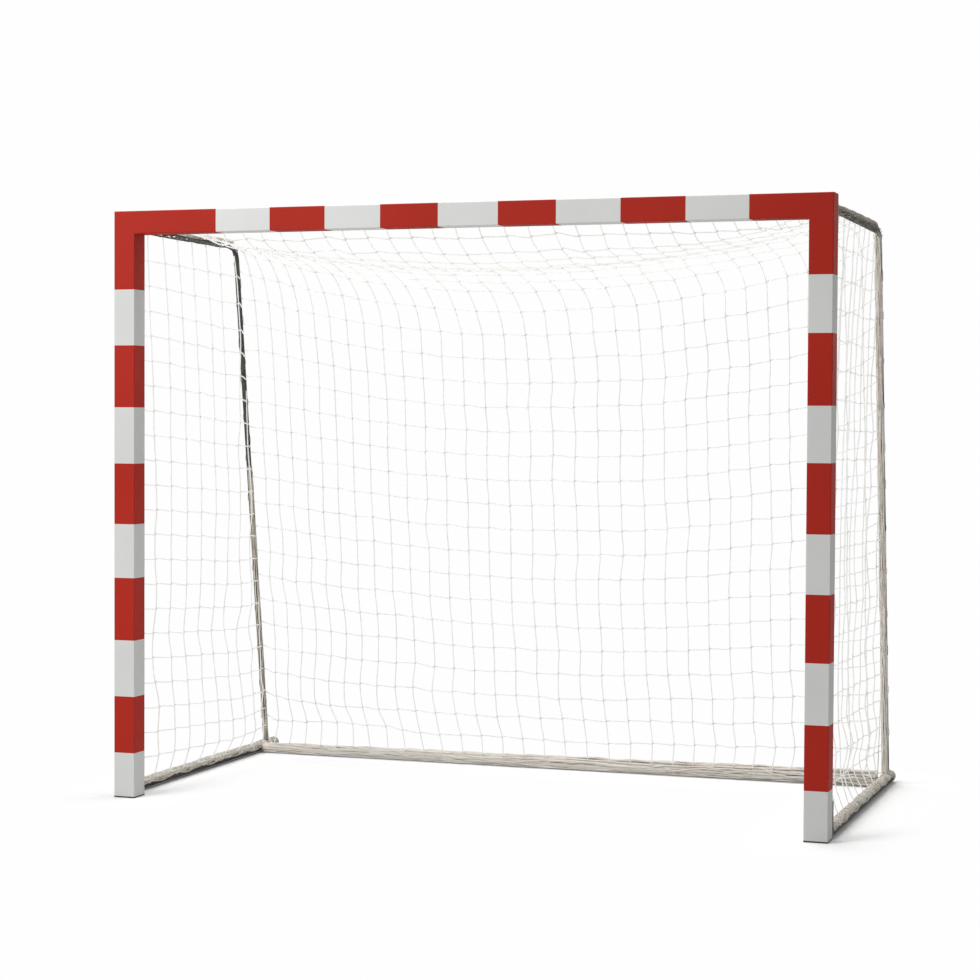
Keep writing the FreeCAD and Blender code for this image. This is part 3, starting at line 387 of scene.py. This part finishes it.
# the frame in the side view: y from the posts' front face, z from the floor
front = -end_out
hoop_x, hoop_top, hoop_corner, hoop_foot, hoop_bend = rail_out, 2.035, 0.965, 1.26, 0.08
rail_x, rail_z, bar_y = rail_out, 0.022, 1.19
net_front, hoop_low = 0.097, 0.046
lean = math.atan2(hoop_foot - hoop_corner, hoop_top - rail_z)
turn = math.pi / 2 - lean
run_out = hoop_bend * math.tan(turn / 2)
arc = [[hoop_corner - run_out + hoop_bend * math.sin(q),
        hoop_top - hoop_bend + hoop_bend * math.cos(q)] for q in np.linspace(0, turn, 9)]
hoop_line = np.array([[net_front, hoop_top], *arc,
                      [hoop_corner + (hoop_top - hoop_low) * math.tan(lean), hoop_low]])
hoop_gaps = np.linalg.norm(np.diff(hoop_line, axis=0), axis=1)
hoop_way = np.concatenate([[0], np.cumsum(hoop_gaps)])


def on_hoop(way):
    return np.stack([np.interp(way, hoop_way, hoop_line[:, i]) for i in (0, 1)], -1)


def outside(way):
    """The places on the outer side of the hoop, above its top run and behind its upright."""
    from_middle = 0.0115
    run = on_hoop(way + 0.01) - on_hoop(way - 0.01)
    run /= np.linalg.norm(run, axis=-1, keepdims=True)
    return on_hoop(way) + from_middle * np.stack([-run[:, 1], run[:, 0]], -1)


pull_per_step = 4e-5


def hang_hood():
    """The sheet over the top and back, slack across and drawn tight down its middle."""
    across_count, down_count, half = 33, 28, 1.258
    slack, scatter, tight = 1.012, 0.02, 0.09
    draw = np.random.default_rng(11)
    step = hoop_way[-1] / down_count
    k = np.arange(across_count + 1) / across_count
    j = np.arange(down_count + 1) / down_count
    # strings down lie closer at the sides, and strings across run askew by up to 90 mm
    x = -half + 2 * half * (k - 0.02 * np.sin(2 * np.pi * k))
    set_in = np.sin(np.pi * k)[None] * np.sin(np.pi * j)[:, None]
    ends = [outside(hoop_way[-1] * j + shift * np.sin(np.pi * j)) for shift in (0.045, -0.045)]
    knots = np.zeros((down_count + 1, across_count + 1, 3))
    knots[:, :, 0] = x
    for i in (0, 1):
        knots[:, :, i + 1] = ends[0][:, i : i + 1] * (1 - k) + ends[1][:, i : i + 1] * k
    # it starts a little forward and down, and its last row is tied before and over the rear bar
    knots[:, :, 1] -= 0.22 * set_in
    knots[:, :, 2] -= 0.13 * set_in
    knots[-1, 1:-1, 1:] = bar_y - 0.010, 0.040
    tied = np.zeros(knots.shape[:2], bool)
    tied[[0, -1]] = True
    tied[:, [0, -1]] = True
    number = np.arange(tied.size).reshape(tied.shape)
    strings, lengths = [], []
    for row in number:
        strings.append((0, row))
        lengths.append(np.diff(x) * slack * (1 + scatter * draw.standard_normal(across_count)))
    # the outermost strings down are gathered into the selvages on the hoops
    for i, column in enumerate(number.T[1:-1], 1):
        easing = 1 - tight * math.sin(math.pi * k[i])
        strings.append((1, column))
        lengths.append(step * easing * (1 + scatter * draw.standard_normal(down_count)))
    pull = np.array([0, -1.2, -1.0]) * pull_per_step
    knots = relax_net(knots.reshape(-1, 3), tied.ravel(), strings, lengths, pull,
                      500)
    return knots, strings


def hang_side(side, column_gap, row_count, drop, bottom_shift, seed):
    """A side panel: its columns hang from the hoop's top run, its rows run from post to hoop."""
    slack, scatter = 1.004, 0.008
    draw = np.random.default_rng(seed)
    low, high = 0.037, 2.012 if side < 0 else 2.025
    # the knots' distances from the middle of the goal: free, at the post, on the top run, at the hoop
    out_free, out_post, out_top, out_hoop = 1.249, 1.2425, 1.260, 1.254
    heights = np.linspace(high, low, row_count + 1)
    columns = []
    y = net_front
    while y < hoop_foot - 0.04:
        columns.append(y)
        y += column_gap
    knots, tied, grid = [], [], {}

    def knot(place, held, out):
        knots.append((side * out, *place))
        tied.append(held)
        return len(knots) - 1

    def hoop_y(z):
        return hoop_corner + (hoop_top - z) * math.tan(lean)

    # rows sag towards the hoop, and columns end a quarter of a mesh or more before it
    for c, y in enumerate(columns):
        for r, z in enumerate(heights):
            share = (high - z) / (high - low)
            depth = y + bottom_shift * share ** 6 * (0 < c)
            end_z = z - drop * (y - net_front) * min(1, 8 * (1 - share), 8 * share)
            if depth < hoop_y(end_z) - 0.25 * column_gap and (r > 0 or y < hoop_corner - 0.06):
                out = out_post if c == 0 else out_top if r == 0 else out_free
                grid[c, r] = knot((depth, end_z), r in (0, row_count) or c == 0, out)
    strings, lengths = [], []
    for r, z in enumerate(heights):
        line = [grid[c, r] for c in range(len(columns)) if (c, r) in grid]
        if 0 < r < row_count:
            z_end = z - drop * min(1, 8 * (1 - r / row_count), 8 * r / row_count)
            line.append(knot((hoop_y(z_end) - 0.004, z_end), True, out_hoop))
        if r:
            strings.append((0, line))
    for c, y in enumerate(columns):
        line = [grid[c, r] for r in range(row_count + 1) if (c, r) in grid]
        if (c, 0) not in grid:
            z_end = min(hoop_top - max(0.0, y - hoop_corner) / math.tan(lean), hoop_top - 0.05)
            line.insert(0, knot((min(y, hoop_y(z_end) - 0.004), z_end), True, out_hoop))
        strings.append((1, line))
    knots = np.array(knots, float)
    for kind, line in strings:
        gaps = np.linalg.norm(np.diff(knots[line], axis=0), axis=1)
        lengths.append(gaps * slack * (1 + scatter * draw.standard_normal(len(gaps))))
    pull = np.array([-0.2 * side, 0.0, -1.0]) * pull_per_step
    knots = relax_net(knots, np.array(tied), strings, lengths, pull, 300)
    return knots, strings


def string_lines(name, knots, strings, border):
    """The strings as separate lines of one mesh, with their thickness and which points are knots."""
    points, edges, tie = [], [], []
    knot_end, rise, border_girth = 0.045, 0.0024, 1.7

    def smooth(line, i, share):
        a, b, c, d = (line[min(max(i + k, 0), len(line) - 1)] for k in (-1, 0, 1, 2))
        bend = 2 * a - 5 * b + 4 * c - d + share * (3 * (b - c) + d - a)
        return b + 0.5 * share * (c - a + share * bend)

    for kind, line in strings:
        way = knots[line] + (0, front, 0)
        for i in range(len(way) - 1):
            # a row enters each knot low and leaves it high, a twine's thickness apart
            for share in (knot_end, 0.35, 0.65, 1 - knot_end) if kind == 0 else (0.0, 0.33, 0.67):
                place = smooth(way, i, share)
                if kind == 0:
                    place[2] += rise * (1 - 2 * share) * (0 < i + share < len(way) - 1)
                points.append(place)
                tie.append(1.0 if kind == 0 and share == knot_end and i else 0.0)
                if len(points) > 1 and (i or share > knot_end):
                    edges.append((len(points) - 2, len(points) - 1))
        points.append(way[-1])
        tie.append(0.0)
        edges.append((len(points) - 2, len(points) - 1))
    girth = [1.0] * len(points)
    for line in border:
        for i, place in enumerate(line):
            points.append((place[0], place[1] + front, place[2]))
            girth.append(border_girth)
            tie.append(0.0)
            if i:
                edges.append((len(points) - 2, len(points) - 1))
    made = bpy.data.meshes.new(name)
    made.from_pydata([tuple(p) for p in points], edges, [])
    for label, values in (("girth", girth), ("tie", tie)):
        made.attributes.new(label, "FLOAT", "POINT").data.foreach_set("value", values)
    found = bpy.data.objects.new(name, made)
    bpy.context.scene.collection.objects.link(found)
    return found


def geometry_tree(name, inputs):
    made = bpy.data.node_groups.new(name, "GeometryNodeTree")
    made.interface.new_socket("Geometry", in_out="INPUT", socket_type="NodeSocketGeometry")
    made.interface.new_socket("Geometry", in_out="OUTPUT", socket_type="NodeSocketGeometry")
    for label, kind, value in inputs:
        socket = made.interface.new_socket(label, in_out="INPUT", socket_type=kind)
        if value is not None:
            socket.default_value = value
    return made, made.nodes.new("NodeGroupInput"), made.nodes.new("NodeGroupOutput")


def worked(piece, tree, values):
    """Runs a geometry tree on a piece and keeps the result as its plain mesh."""
    modifier = piece.modifiers.new("made", "NODES")
    modifier.node_group = tree
    for socket in tree.interface.items_tree:
        if socket.item_type == "SOCKET" and socket.in_out == "INPUT" and socket.name in values:
            modifier[socket.identifier] = values[socket.name]
    made = bpy.data.meshes.new_from_object(
        piece.evaluated_get(bpy.context.evaluated_depsgraph_get()))
    made.name = piece.name
    piece.modifiers.remove(modifier)
    piece.data = made
    return piece


def round_twine(tree, lines, thickness, corners):
    """Lays a round twine along lines, and keeps the way round it for the twist of its plies."""
    half = add(tree, "ShaderNodeMath", {0: thickness, 1: 0.5}, operation="MULTIPLY")
    ring = add(tree, "GeometryNodeCurvePrimitiveCircle", {"Resolution": corners, "Radius": half})
    way = add(tree, "GeometryNodeSplineParameter")
    ring = add(tree, "GeometryNodeStoreNamedAttribute",
               {"Geometry": ring, "Name": "around", "Value": way.outputs["Factor"]},
               data_type="FLOAT", domain="POINT")
    return add(tree, "GeometryNodeCurveToMesh", {"Curve": lines,
                                                 "Profile Curve": ring, "Fill Caps": True})


def hand_out(tree, made, given, out):
    """Ends a tree: plain smooth meshes in the twine that the tree is given."""
    real = add(tree, "GeometryNodeRealizeInstances", {0: made})
    smooth = add(tree, "GeometryNodeSetShadeSmooth", {0: real})
    coloured = add(tree, "GeometryNodeSetMaterial", {"Geometry": smooth,
                                                     "Material": given.outputs["Twine"]})
    tree.links.new(coloured.outputs[0], out.inputs[0])


tree, given, out = geometry_tree("net_strings", (
    ("Twine thickness", "NodeSocketFloat", 0.0046), ("Knot size", "NodeSocketFloat", 0.0036),
    ("Wander", "NodeSocketFloat", 0.0012), ("Seed", "NodeSocketFloat", 3.0),
    ("Twine", "NodeSocketMaterial", None)))
girth = add(tree, "GeometryNodeInputNamedAttribute", {"Name": "girth"}, data_type="FLOAT")
tie_here = add(tree, "GeometryNodeInputNamedAttribute", {"Name": "tie"}, data_type="FLOAT")
place = add(tree, "GeometryNodeInputPosition")
# the same small wander moves knots and strings, so that they stay together; the noise keeps near its
# middle, so it is stretched
noise_stretch = 4.0
wave = add(tree, "ShaderNodeTexNoise", {"Vector": place, "W": given.outputs["Seed"],
                                        "Scale": 16.0, "Detail": 1.0}, noise_dimensions="4D")
centred = add(tree, "ShaderNodeVectorMath", {0: wave.outputs["Color"], 1: (0.5, 0.5, 0.5)},
              operation="SUBTRACT")
moved = add(tree, "ShaderNodeVectorMath", {0: centred, "Scale": given.outputs["Wander"]},
            operation="SCALE")
wander = add(tree, "ShaderNodeVectorMath", {0: moved, "Scale": noise_stretch}, operation="SCALE")
strung = add(tree, "GeometryNodeMeshToCurve", {0: given.outputs["Geometry"]})
strung = add(tree, "GeometryNodeSetPosition", {"Geometry": strung, "Offset": wander})
strung = add(tree, "GeometryNodeSetCurveRadius", {0: strung, "Radius": girth})
way = add(tree, "GeometryNodeSplineParameter")
strung = add(tree, "GeometryNodeStoreNamedAttribute",
             {"Geometry": strung, "Name": "along", "Value": way.outputs["Length"]},
             data_type="FLOAT", domain="POINT")
tube = round_twine(tree, strung, given.outputs["Twine thickness"], 6)
spots = add(tree, "GeometryNodeMeshToPoints", {"Mesh": given.outputs["Geometry"]}, mode="VERTICES")
no_knot = add(tree, "FunctionNodeCompare", {"A": tie_here, "B": 0.5},
              data_type="FLOAT", operation="LESS_THAN")
spots = add(tree, "GeometryNodeDeleteGeometry", {"Geometry": spots,
                                                 "Selection": no_knot}, domain="POINT")
spots = add(tree, "GeometryNodeSetPosition", {"Geometry": spots, "Offset": wander})
bead = add(tree, "GeometryNodeMeshIcoSphere", {"Radius": given.outputs["Knot size"],
                                               "Subdivisions": 1})
beads = add(tree, "GeometryNodeInstanceOnPoints", {"Points": spots,
                                                   "Instance": bead.outputs["Mesh"]})
joined = add(tree, "GeometryNodeJoinGeometry")
tree.links.new(tube.outputs[0], joined.inputs[0])
tree.links.new(beads.outputs[0], joined.inputs[0])
hand_out(tree, joined, given, out)
net_tree = tree


def twisted_twine(name, light, dark, lay, roughness, milk, spread):
    """Twisted twine: three plies laid at an angle, one turn of the plies every lay metres, soiled in
    spots of about 110 mm. Milk lets light through, and spread makes some strands darker."""
    made, tree, coat = finish(name, {"Roughness": roughness, "IOR": 1.5, "Sheen Weight": 0.25,
                                     "Sheen Roughness": 0.5})
    along = add(tree, "ShaderNodeAttribute", attribute_name="along")
    around = add(tree, "ShaderNodeAttribute", attribute_name="around")
    turns = add(tree, "ShaderNodeMath", {0: along.outputs["Fac"], 1: lay}, operation="DIVIDE")
    plies = add(tree, "ShaderNodeMath", {0: around.outputs["Fac"], 1: 3.0, 2: turns},
                operation="MULTIPLY_ADD")
    angle = add(tree, "ShaderNodeMath", {0: plies, 1: 2 * math.pi}, operation="MULTIPLY")
    ridge = add(tree, "ShaderNodeMath", {0: angle}, operation="SINE")
    place = add(tree, "ShaderNodeTexCoord")
    soil = add(tree, "ShaderNodeTexNoise", {"Vector": place.outputs["Object"], "Scale": 9.0,
                                            "Detail": 4.0})
    # the grooves between the plies are painted darker, as their shade, over soil in spots
    groove_shade_and_soil = add(tree, "ShaderNodeMath", {0: ridge, 1: 0.12, 2: soil}, operation="MULTIPLY_ADD")
    even = add(tree, "ShaderNodeMapRange", {"Value": groove_shade_and_soil, "From Min": 0.3, "From Max": 0.7})
    tint = add(tree, "ShaderNodeMix", {0: even, 6: linear(dark), 7: linear(light)},
               data_type="RGBA")
    chance = add(tree, "ShaderNodeAttribute", attribute_name="chance")
    shade = add(tree, "ShaderNodeMath", {0: chance.outputs["Fac"], 1: -spread, 2: 1.0},
                operation="MULTIPLY_ADD")
    shaded = add(tree, "ShaderNodeVectorMath", {0: tint.outputs[2], "Scale": shade},
                 operation="SCALE")
    tree.links.new(shaded.outputs[0], coat.inputs["Base Color"])
    relief = add(tree, "ShaderNodeBump", {"Height": ridge, "Strength": 0.5, "Distance": 0.0006})
    tree.links.new(relief.outputs[0], coat.inputs["Normal"])
    if milk:
        through = add(tree, "ShaderNodeBsdfTranslucent", {"Color": shaded})
        both = add(tree, "ShaderNodeMixShader", {0: milk, 1: coat, 2: through})
        tree.links.new(both.outputs[0], tree.nodes["Material Output"].inputs["Surface"])
    return made


# the twine of the net is clean and milky, so its strings look faint against the white room
net_twine = twisted_twine("twisted_polyethylene_twine", "#fbfbfa", "#f5f5f3", 0.009, 0.5, 0.68, 0.0)
hood_knots, hood_strings = hang_hood()
crossbar_cord = [(x, net_front, 2.036) for x in np.linspace(-1.2, 1.2, 34)]
hood = string_lines("net_hood", hood_knots, hood_strings, [crossbar_cord])
worked(hood, net_tree, {"Twine": net_twine, "Seed": 3.0})
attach(hood, "root")
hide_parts("top_net", "back_net")
for word, side, column_gap, row_count, drop, shift, seed in (
        ("left", -1, 0.119, 22, 0.055, 0.03, 21), ("right", 1, 0.100, 20, 0.013, 0.05, 22)):
    knots, strings = hang_side(side, column_gap, row_count, drop, shift, seed)
    post_cord = [(side * 1.2425, net_front, z) for z in np.linspace(0.055, 2.03, 24)]
    panel = string_lines(f"{word}_net_panel", knots, strings, [post_cord])
    worked(panel, net_tree, {"Twine": net_twine, "Seed": 3.0 + seed})
    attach(panel, "root")
    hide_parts(f"{word}_side_net")

# Strands on the tubes: the selvage of the net is gathered and wound on the ground tubes, and laced
# along the hoops. Each strand follows the tube at its own angle, so they cross and leave gaps.
tree, given, out = geometry_tree("strands_on_tube", (
    ("Strands", "NodeSocketInt", 8), ("Strand thickness", "NodeSocketFloat", 0.004),
    ("Tube radius", "NodeSocketFloat", 0.02), ("Heap", "NodeSocketFloat", 0.0),
    ("Growth", "NodeSocketFloat", 0.0), ("Rise", "NodeSocketFloat", 0.0),
    ("Turns per metre", "NodeSocketFloat", 0.0), ("Sweep", "NodeSocketFloat", 0.6),
    ("Sweeps per metre", "NodeSocketFloat", 2.0), ("Fan", "NodeSocketFloat", 2 * math.pi),
    ("First angle", "NodeSocketFloat", 0.0), ("Unevenness", "NodeSocketFloat", 0.5),
    ("Step", "NodeSocketFloat", 0.02), ("Seed", "NodeSocketInt", 1),
    ("Twine", "NodeSocketMaterial", None)))
run = add(tree, "GeometryNodeMeshToCurve", {0: given.outputs["Geometry"]})
run = add(tree, "GeometryNodeSetCurveNormal", {0: run})
run = add(tree, "GeometryNodeResampleCurve", {"Curve": run,
                                              "Length": given.outputs["Step"]}, mode="LENGTH")
copies = add(tree, "GeometryNodeDuplicateElements",
             {"Geometry": run, "Amount": given.outputs["Strands"]}, domain="SPLINE")
number = add(tree, "GeometryNodeStoreNamedAttribute",
             {"Geometry": copies, "Name": "strand",
              "Value": copies.outputs["Duplicate Index"]}, data_type="FLOAT", domain="POINT")
which = add(tree, "GeometryNodeInputNamedAttribute", {"Name": "strand"}, data_type="FLOAT")
way = add(tree, "GeometryNodeSplineParameter")
share = add(tree, "ShaderNodeMath", {0: which, 1: given.outputs["Strands"]}, operation="DIVIDE")
chance = add(tree, "FunctionNodeRandomValue",
             {2: 0.0, 3: 1.0, "ID": which, "Seed": given.outputs["Seed"]}, data_type="FLOAT")
phase = add(tree, "ShaderNodeMath", {0: chance.outputs[1], 1: 2 * math.pi}, operation="MULTIPLY")
fan = add(tree, "ShaderNodeMath", {0: share, 1: given.outputs["Fan"],
                                   2: given.outputs["First angle"]}, operation="MULTIPLY_ADD")
turned = add(tree, "ShaderNodeMath",
             {0: way.outputs["Length"], 1: given.outputs["Turns per metre"]}, operation="MULTIPLY")
turned = add(tree, "ShaderNodeMath", {0: turned, 1: 2 * math.pi, 2: fan}, operation="MULTIPLY_ADD")
swing = add(tree, "ShaderNodeMath",
            {0: way.outputs["Length"], 1: given.outputs["Sweeps per metre"]}, operation="MULTIPLY")
swing = add(tree, "ShaderNodeMath", {0: swing, 1: 2 * math.pi, 2: phase}, operation="MULTIPLY_ADD")
swing = add(tree, "ShaderNodeMath", {0: swing}, operation="SINE")
angle = add(tree, "ShaderNodeMath", {0: swing, 1: given.outputs["Sweep"],
                                     2: turned}, operation="MULTIPLY_ADD")
# uneven winding: the angle and the height over the tube wander with the way along the tube
apart = add(tree, "ShaderNodeCombineXYZ", {0: way.outputs["Length"], 1: which,
                                           2: chance.outputs[1]})
uneven = add(tree, "ShaderNodeTexNoise", {"Vector": apart, "Scale": 9.0, "Detail": 1.0})
stray = add(tree, "ShaderNodeMath", {0: uneven, 1: 0.5}, operation="SUBTRACT")
angle = add(tree, "ShaderNodeMath", {0: stray, 1: given.outputs["Unevenness"],
                                     2: angle}, operation="MULTIPLY_ADD")
# a strand lies on the tube or up to the top of the heap, which may grow along the tube: remix makes
# a second chance, for its layer, out of the first
remix = 7.31
layer = add(tree, "ShaderNodeMath", {0: chance.outputs[1], 1: remix}, operation="MULTIPLY")
layer = add(tree, "ShaderNodeMath", {0: layer}, operation="FRACT")
heaped = add(tree, "ShaderNodeMath", {0: way.outputs["Factor"], 1: given.outputs["Growth"],
                                      2: given.outputs["Heap"]}, operation="MULTIPLY_ADD")
tallness = add(tree, "ShaderNodeMath",
               {0: layer, 1: heaped, 2: given.outputs["Tube radius"]},
               operation="MULTIPLY_ADD")
high = add(tree, "ShaderNodeMapRange", {"Value": uneven, "From Min": 0.35,
                                        "From Max": 0.65, "To Min": 0.3, "To Max": 1.1})
lifted = add(tree, "ShaderNodeMath", {0: given.outputs["Strand thickness"], 1: high,
                                      2: tallness}, operation="MULTIPLY_ADD")
normal = add(tree, "GeometryNodeInputNormal")
tangent = add(tree, "GeometryNodeInputTangent")
sideways = add(tree, "ShaderNodeVectorMath", {0: tangent, 1: normal}, operation="CROSS_PRODUCT")
cosine = add(tree, "ShaderNodeMath", {0: angle}, operation="COSINE")
sine = add(tree, "ShaderNodeMath", {0: angle}, operation="SINE")
first = add(tree, "ShaderNodeVectorMath", {0: normal, "Scale": cosine}, operation="SCALE")
second = add(tree, "ShaderNodeVectorMath", {0: sideways, "Scale": sine}, operation="SCALE")
out_of_tube = add(tree, "ShaderNodeVectorMath", {0: first, 1: second}, operation="ADD")
offset = add(tree, "ShaderNodeVectorMath", {0: out_of_tube, "Scale": lifted}, operation="SCALE")
rising = add(tree, "ShaderNodeMath", {0: way.outputs["Factor"], 1: given.outputs["Rise"]},
             operation="MULTIPLY")
rising = add(tree, "ShaderNodeMath", {0: rising, 1: layer}, operation="MULTIPLY")
heap = add(tree, "ShaderNodeCombineXYZ", {2: rising})
offset = add(tree, "ShaderNodeVectorMath", {0: offset, 1: heap}, operation="ADD")
placed = number
for label, value, kind in (("offset", offset, "FLOAT_VECTOR"), ("chance", chance.outputs[1], "FLOAT")):
    placed = add(tree, "GeometryNodeStoreNamedAttribute",
                 {"Geometry": placed, "Name": label, "Value": value},
                 data_type=kind, domain="POINT")
stored = add(tree, "GeometryNodeInputNamedAttribute", {"Name": "offset"}, data_type="FLOAT_VECTOR")
placed = add(tree, "GeometryNodeSetPosition", {"Geometry": placed, "Offset": stored})
placed = add(tree, "GeometryNodeStoreNamedAttribute",
             {"Geometry": placed, "Name": "along", "Value": way.outputs["Length"]},
             data_type="FLOAT", domain="POINT")
strands = round_twine(tree, placed, given.outputs["Strand thickness"], 5)
hand_out(tree, strands, given, out)
strand_tree = tree


def wound(name, line, values):
    data = bpy.data.meshes.new(name)
    data.from_pydata([tuple(p) for p in line], [(i, i + 1) for i in range(len(line) - 1)], [])
    piece = bpy.data.objects.new(name, data)
    bpy.context.scene.collection.objects.link(piece)
    worked(piece, strand_tree, values)
    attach(piece, "root")
    return piece


# older twine on the tubes lets no light through: yellowed but pale; soiled in greys and darkened as
# painted shade; or dark all over as painted shade
pale_twine = twisted_twine("grey_polyethylene_twine", "#fffbf3", "#fbf2e6", 0.012, 0.7, 0.0, 0.08)
soiled_and_shaded_twine = twisted_twine("polyethylene_twine_soil_and_painted_shade", "#fbf4e6", "#ddd2c0", 0.012, 0.7, 0.0, 0.4)
painted_shade_twine = twisted_twine("polyethylene_twine_painted_shade", "#8b867b", "#4d4841", 0.012, 0.8, 0.0, 0.5)

# Ground rails: the selvage of each side panel is laid over the top of the rail, which leaves its
# underside bare, where the near-black tube stands as painted shade. Finer lacing crosses it and a cord
# runs along one edge. 270 degrees is the top.
for word, side in (("left", -1), ("right", 1)):
    rail = [(side * rail_x, y + front, rail_z) for y in np.linspace(0.098, 1.303, 14)]
    middle, fan = (282, 125) if side > 0 else (292, 135)
    # the selvage is in the soiled twine, which is also darkened as painted shade
    along = wound(f"{word}_rail_selvage", rail, {
        "Strands": 34, "Strand thickness": 0.0030, "Tube radius": 0.0172, "Fan": math.radians(fan),
        "First angle": math.radians(middle - fan / 2), "Sweep": 0.22, "Sweeps per metre": 5.0,
        "Unevenness": 0.7, "Step": 0.010, "Seed": 5, "Twine": soiled_and_shaded_twine})
    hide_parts(f"{word}_rail_net_wrap")
    crossed = wound(f"{word}_rail_lacing", rail, {
        "Strands": 7, "Strand thickness": 0.0026, "Tube radius": 0.0186, "Fan": math.radians(40),
        "First angle": math.radians(middle - 20), "Sweep": 0.85, "Sweeps per metre": 9.0,
        "Step": 0.005, "Seed": 6, "Twine": pale_twine})
    rope = wound(f"{word}_rail_rope", rail, {
        "Strands": 1, "Strand thickness": 0.0048, "Tube radius": 0.0186,
        "First angle": math.radians(middle - fan / 2 + 12), "Sweep": 0.05, "Unevenness": 0.2,
        "Seed": 3, "Twine": pale_twine})

# Hoops: selvages of the hood and the side panel lie in a bundle along the top run, under its left
# tube and on top of its right one. More strands cover the tube, and thin twine sews all together.
bend_end = len(hoop_line) - 2
for word, side in (("left", -1), ("right", 1)):
    left = side < 0
    hoop = [(side * hoop_x, y + front, z) for y, z in hoop_line]
    # the bundle drifts from the tube by a share of its farthest place, and ends in the bend
    out_by, up_by = (0.002, -0.014) if left else (0.002, 0.013)
    bundle_line = []
    for y, share in ((0.10, 0.55), (0.25, 0.75), (0.45, 0.95), (0.65, 1.0), (0.80, 1.0), (0.88, 0.85)):
        bundle_line.append((side * hoop_x + out_by * share, y + front, hoop_top + up_by * share))
    turned = arc[4] if left else arc[5]
    bundle_line.append((side * hoop_x, turned[0] + front, turned[1]))
    # the left bundle is in the darkest twine, as painted shade under the top run; the right one is in
    # the soiled twine, also darkened as painted shade
    bundle = wound(f"{word}_hoop_selvage", bundle_line, {
        "Strands": 20, "Strand thickness": 0.0030, "Tube radius": 0.0045, "Heap": 0.0020,
        "Turns per metre": 3.0, "Sweep": 0.7, "Sweeps per metre": 4.0, "Unevenness": 0.8,
        "Step": 0.010, "Seed": 9, "Twine": painted_shade_twine if left else soiled_and_shaded_twine})
    # the cover is in the soiled twine, darkened as painted shade against the strong light on top of the
    # run
    cover = wound(f"{word}_hoop_cover", hoop[:bend_end - 2], {
        "Strands": 18 if left else 8, "Strand thickness": 0.0026, "Tube radius": 0.0096,
        "Fan": math.radians(125 if left else 100), "First angle": math.radians(265 if left else 5),
        "Sweep": 0.15 if left else 0.4, "Sweeps per metre": 3.0 if left else 9.0,
        "Unevenness": 0.5 if left else 1.5, "Step": 0.015 if left else 0.008, "Seed": 14,
        "Twine": soiled_and_shaded_twine})
    # the right stitching is in the darkest twine, as painted shade on the lower half of the tube
    sewn = wound(f"{word}_hoop_stitching", hoop[:bend_end - 3], {
        "Strands": 1, "Strand thickness": 0.0014, "Tube radius": 0.0122, "Growth": 0.004,
        "First angle": math.radians(300 if left else 60), "Sweep": 1.2, "Sweeps per metre": 45.0,
        "Unevenness": 1.2, "Step": 0.0025, "Seed": 17, "Twine": soiled_and_shaded_twine if left else painted_shade_twine})
    # one twine winds round the bend and the upright; on the left it is the darkest twine, as painted
    # shade
    laced = wound(f"{word}_hoop_lacing", hoop[bend_end - 4:], {
        "Strands": 1, "Strand thickness": 0.0018, "Tube radius": 0.0106, "Turns per metre": 6.5,
        "Sweep": 0.4, "Sweeps per metre": 5.0, "Unevenness": 1.0, "Step": 0.007, "Seed": 7,
        "Twine": painted_shade_twine if left else pale_twine})
    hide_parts(f"{word}_hoop_net_ties")
    # the right upright is covered from the bend down, the left one only over its lower 58 %
    bare = 0.42
    upright = hoop[bend_end - 5:]
    if left:
        upright = [[(1 - bare) * a + bare * b for a, b in zip(hoop[bend_end], hoop[-1])], hoop[-1]]
    # the left upright's strands are in the soiled twine, also darkened as painted shade
    down = wound(f"{word}_upright_selvage", upright, {
        "Strands": 8 if left else 26, "Strand thickness": 0.0028, "Tube radius": 0.0096,
        "Heap": 0.0 if left else 0.006, "Sweep": 0.2, "Sweeps per metre": 2.2,
        "Fan": math.radians(130 if left else 110), "First angle": math.radians(-15 if left else 58),
        "Unevenness": 0.8, "Seed": 4, "Twine": soiled_and_shaded_twine if left else pale_twine})

# Rear bar: the lower edge of the hood is gathered on the bar in a thick roll that grows to the right
# end. Over it the strings of the net's last row run in heavier wavy strands.
bar_line = [(x, bar_y + front, rail_z) for x in np.linspace(-1.238, 1.238, 26)]
bar_selvage = wound("rear_bar_selvage", bar_line, {
    "Strands": 42, "Strand thickness": 0.0038, "Tube radius": 0.0126, "Growth": 0.010,
    "Rise": 0.010, "Sweep": 0.3, "Sweeps per metre": 1.1, "Fan": math.radians(285),
    "First angle": math.radians(148), "Unevenness": 0.9, "Seed": 12, "Twine": pale_twine})
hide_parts("rear_bar_net_wrap")
bar_strands = wound("rear_bar_strands", bar_line, {
    "Strands": 14, "Strand thickness": 0.0054, "Tube radius": 0.0132, "Growth": 0.013,
    "Rise": 0.013, "Sweep": 0.3, "Sweeps per metre": 1.6, "Fan": math.radians(255),
    "First angle": math.radians(155), "Unevenness": 1.2, "Step": 0.015, "Seed": 31,
    "Twine": pale_twine})
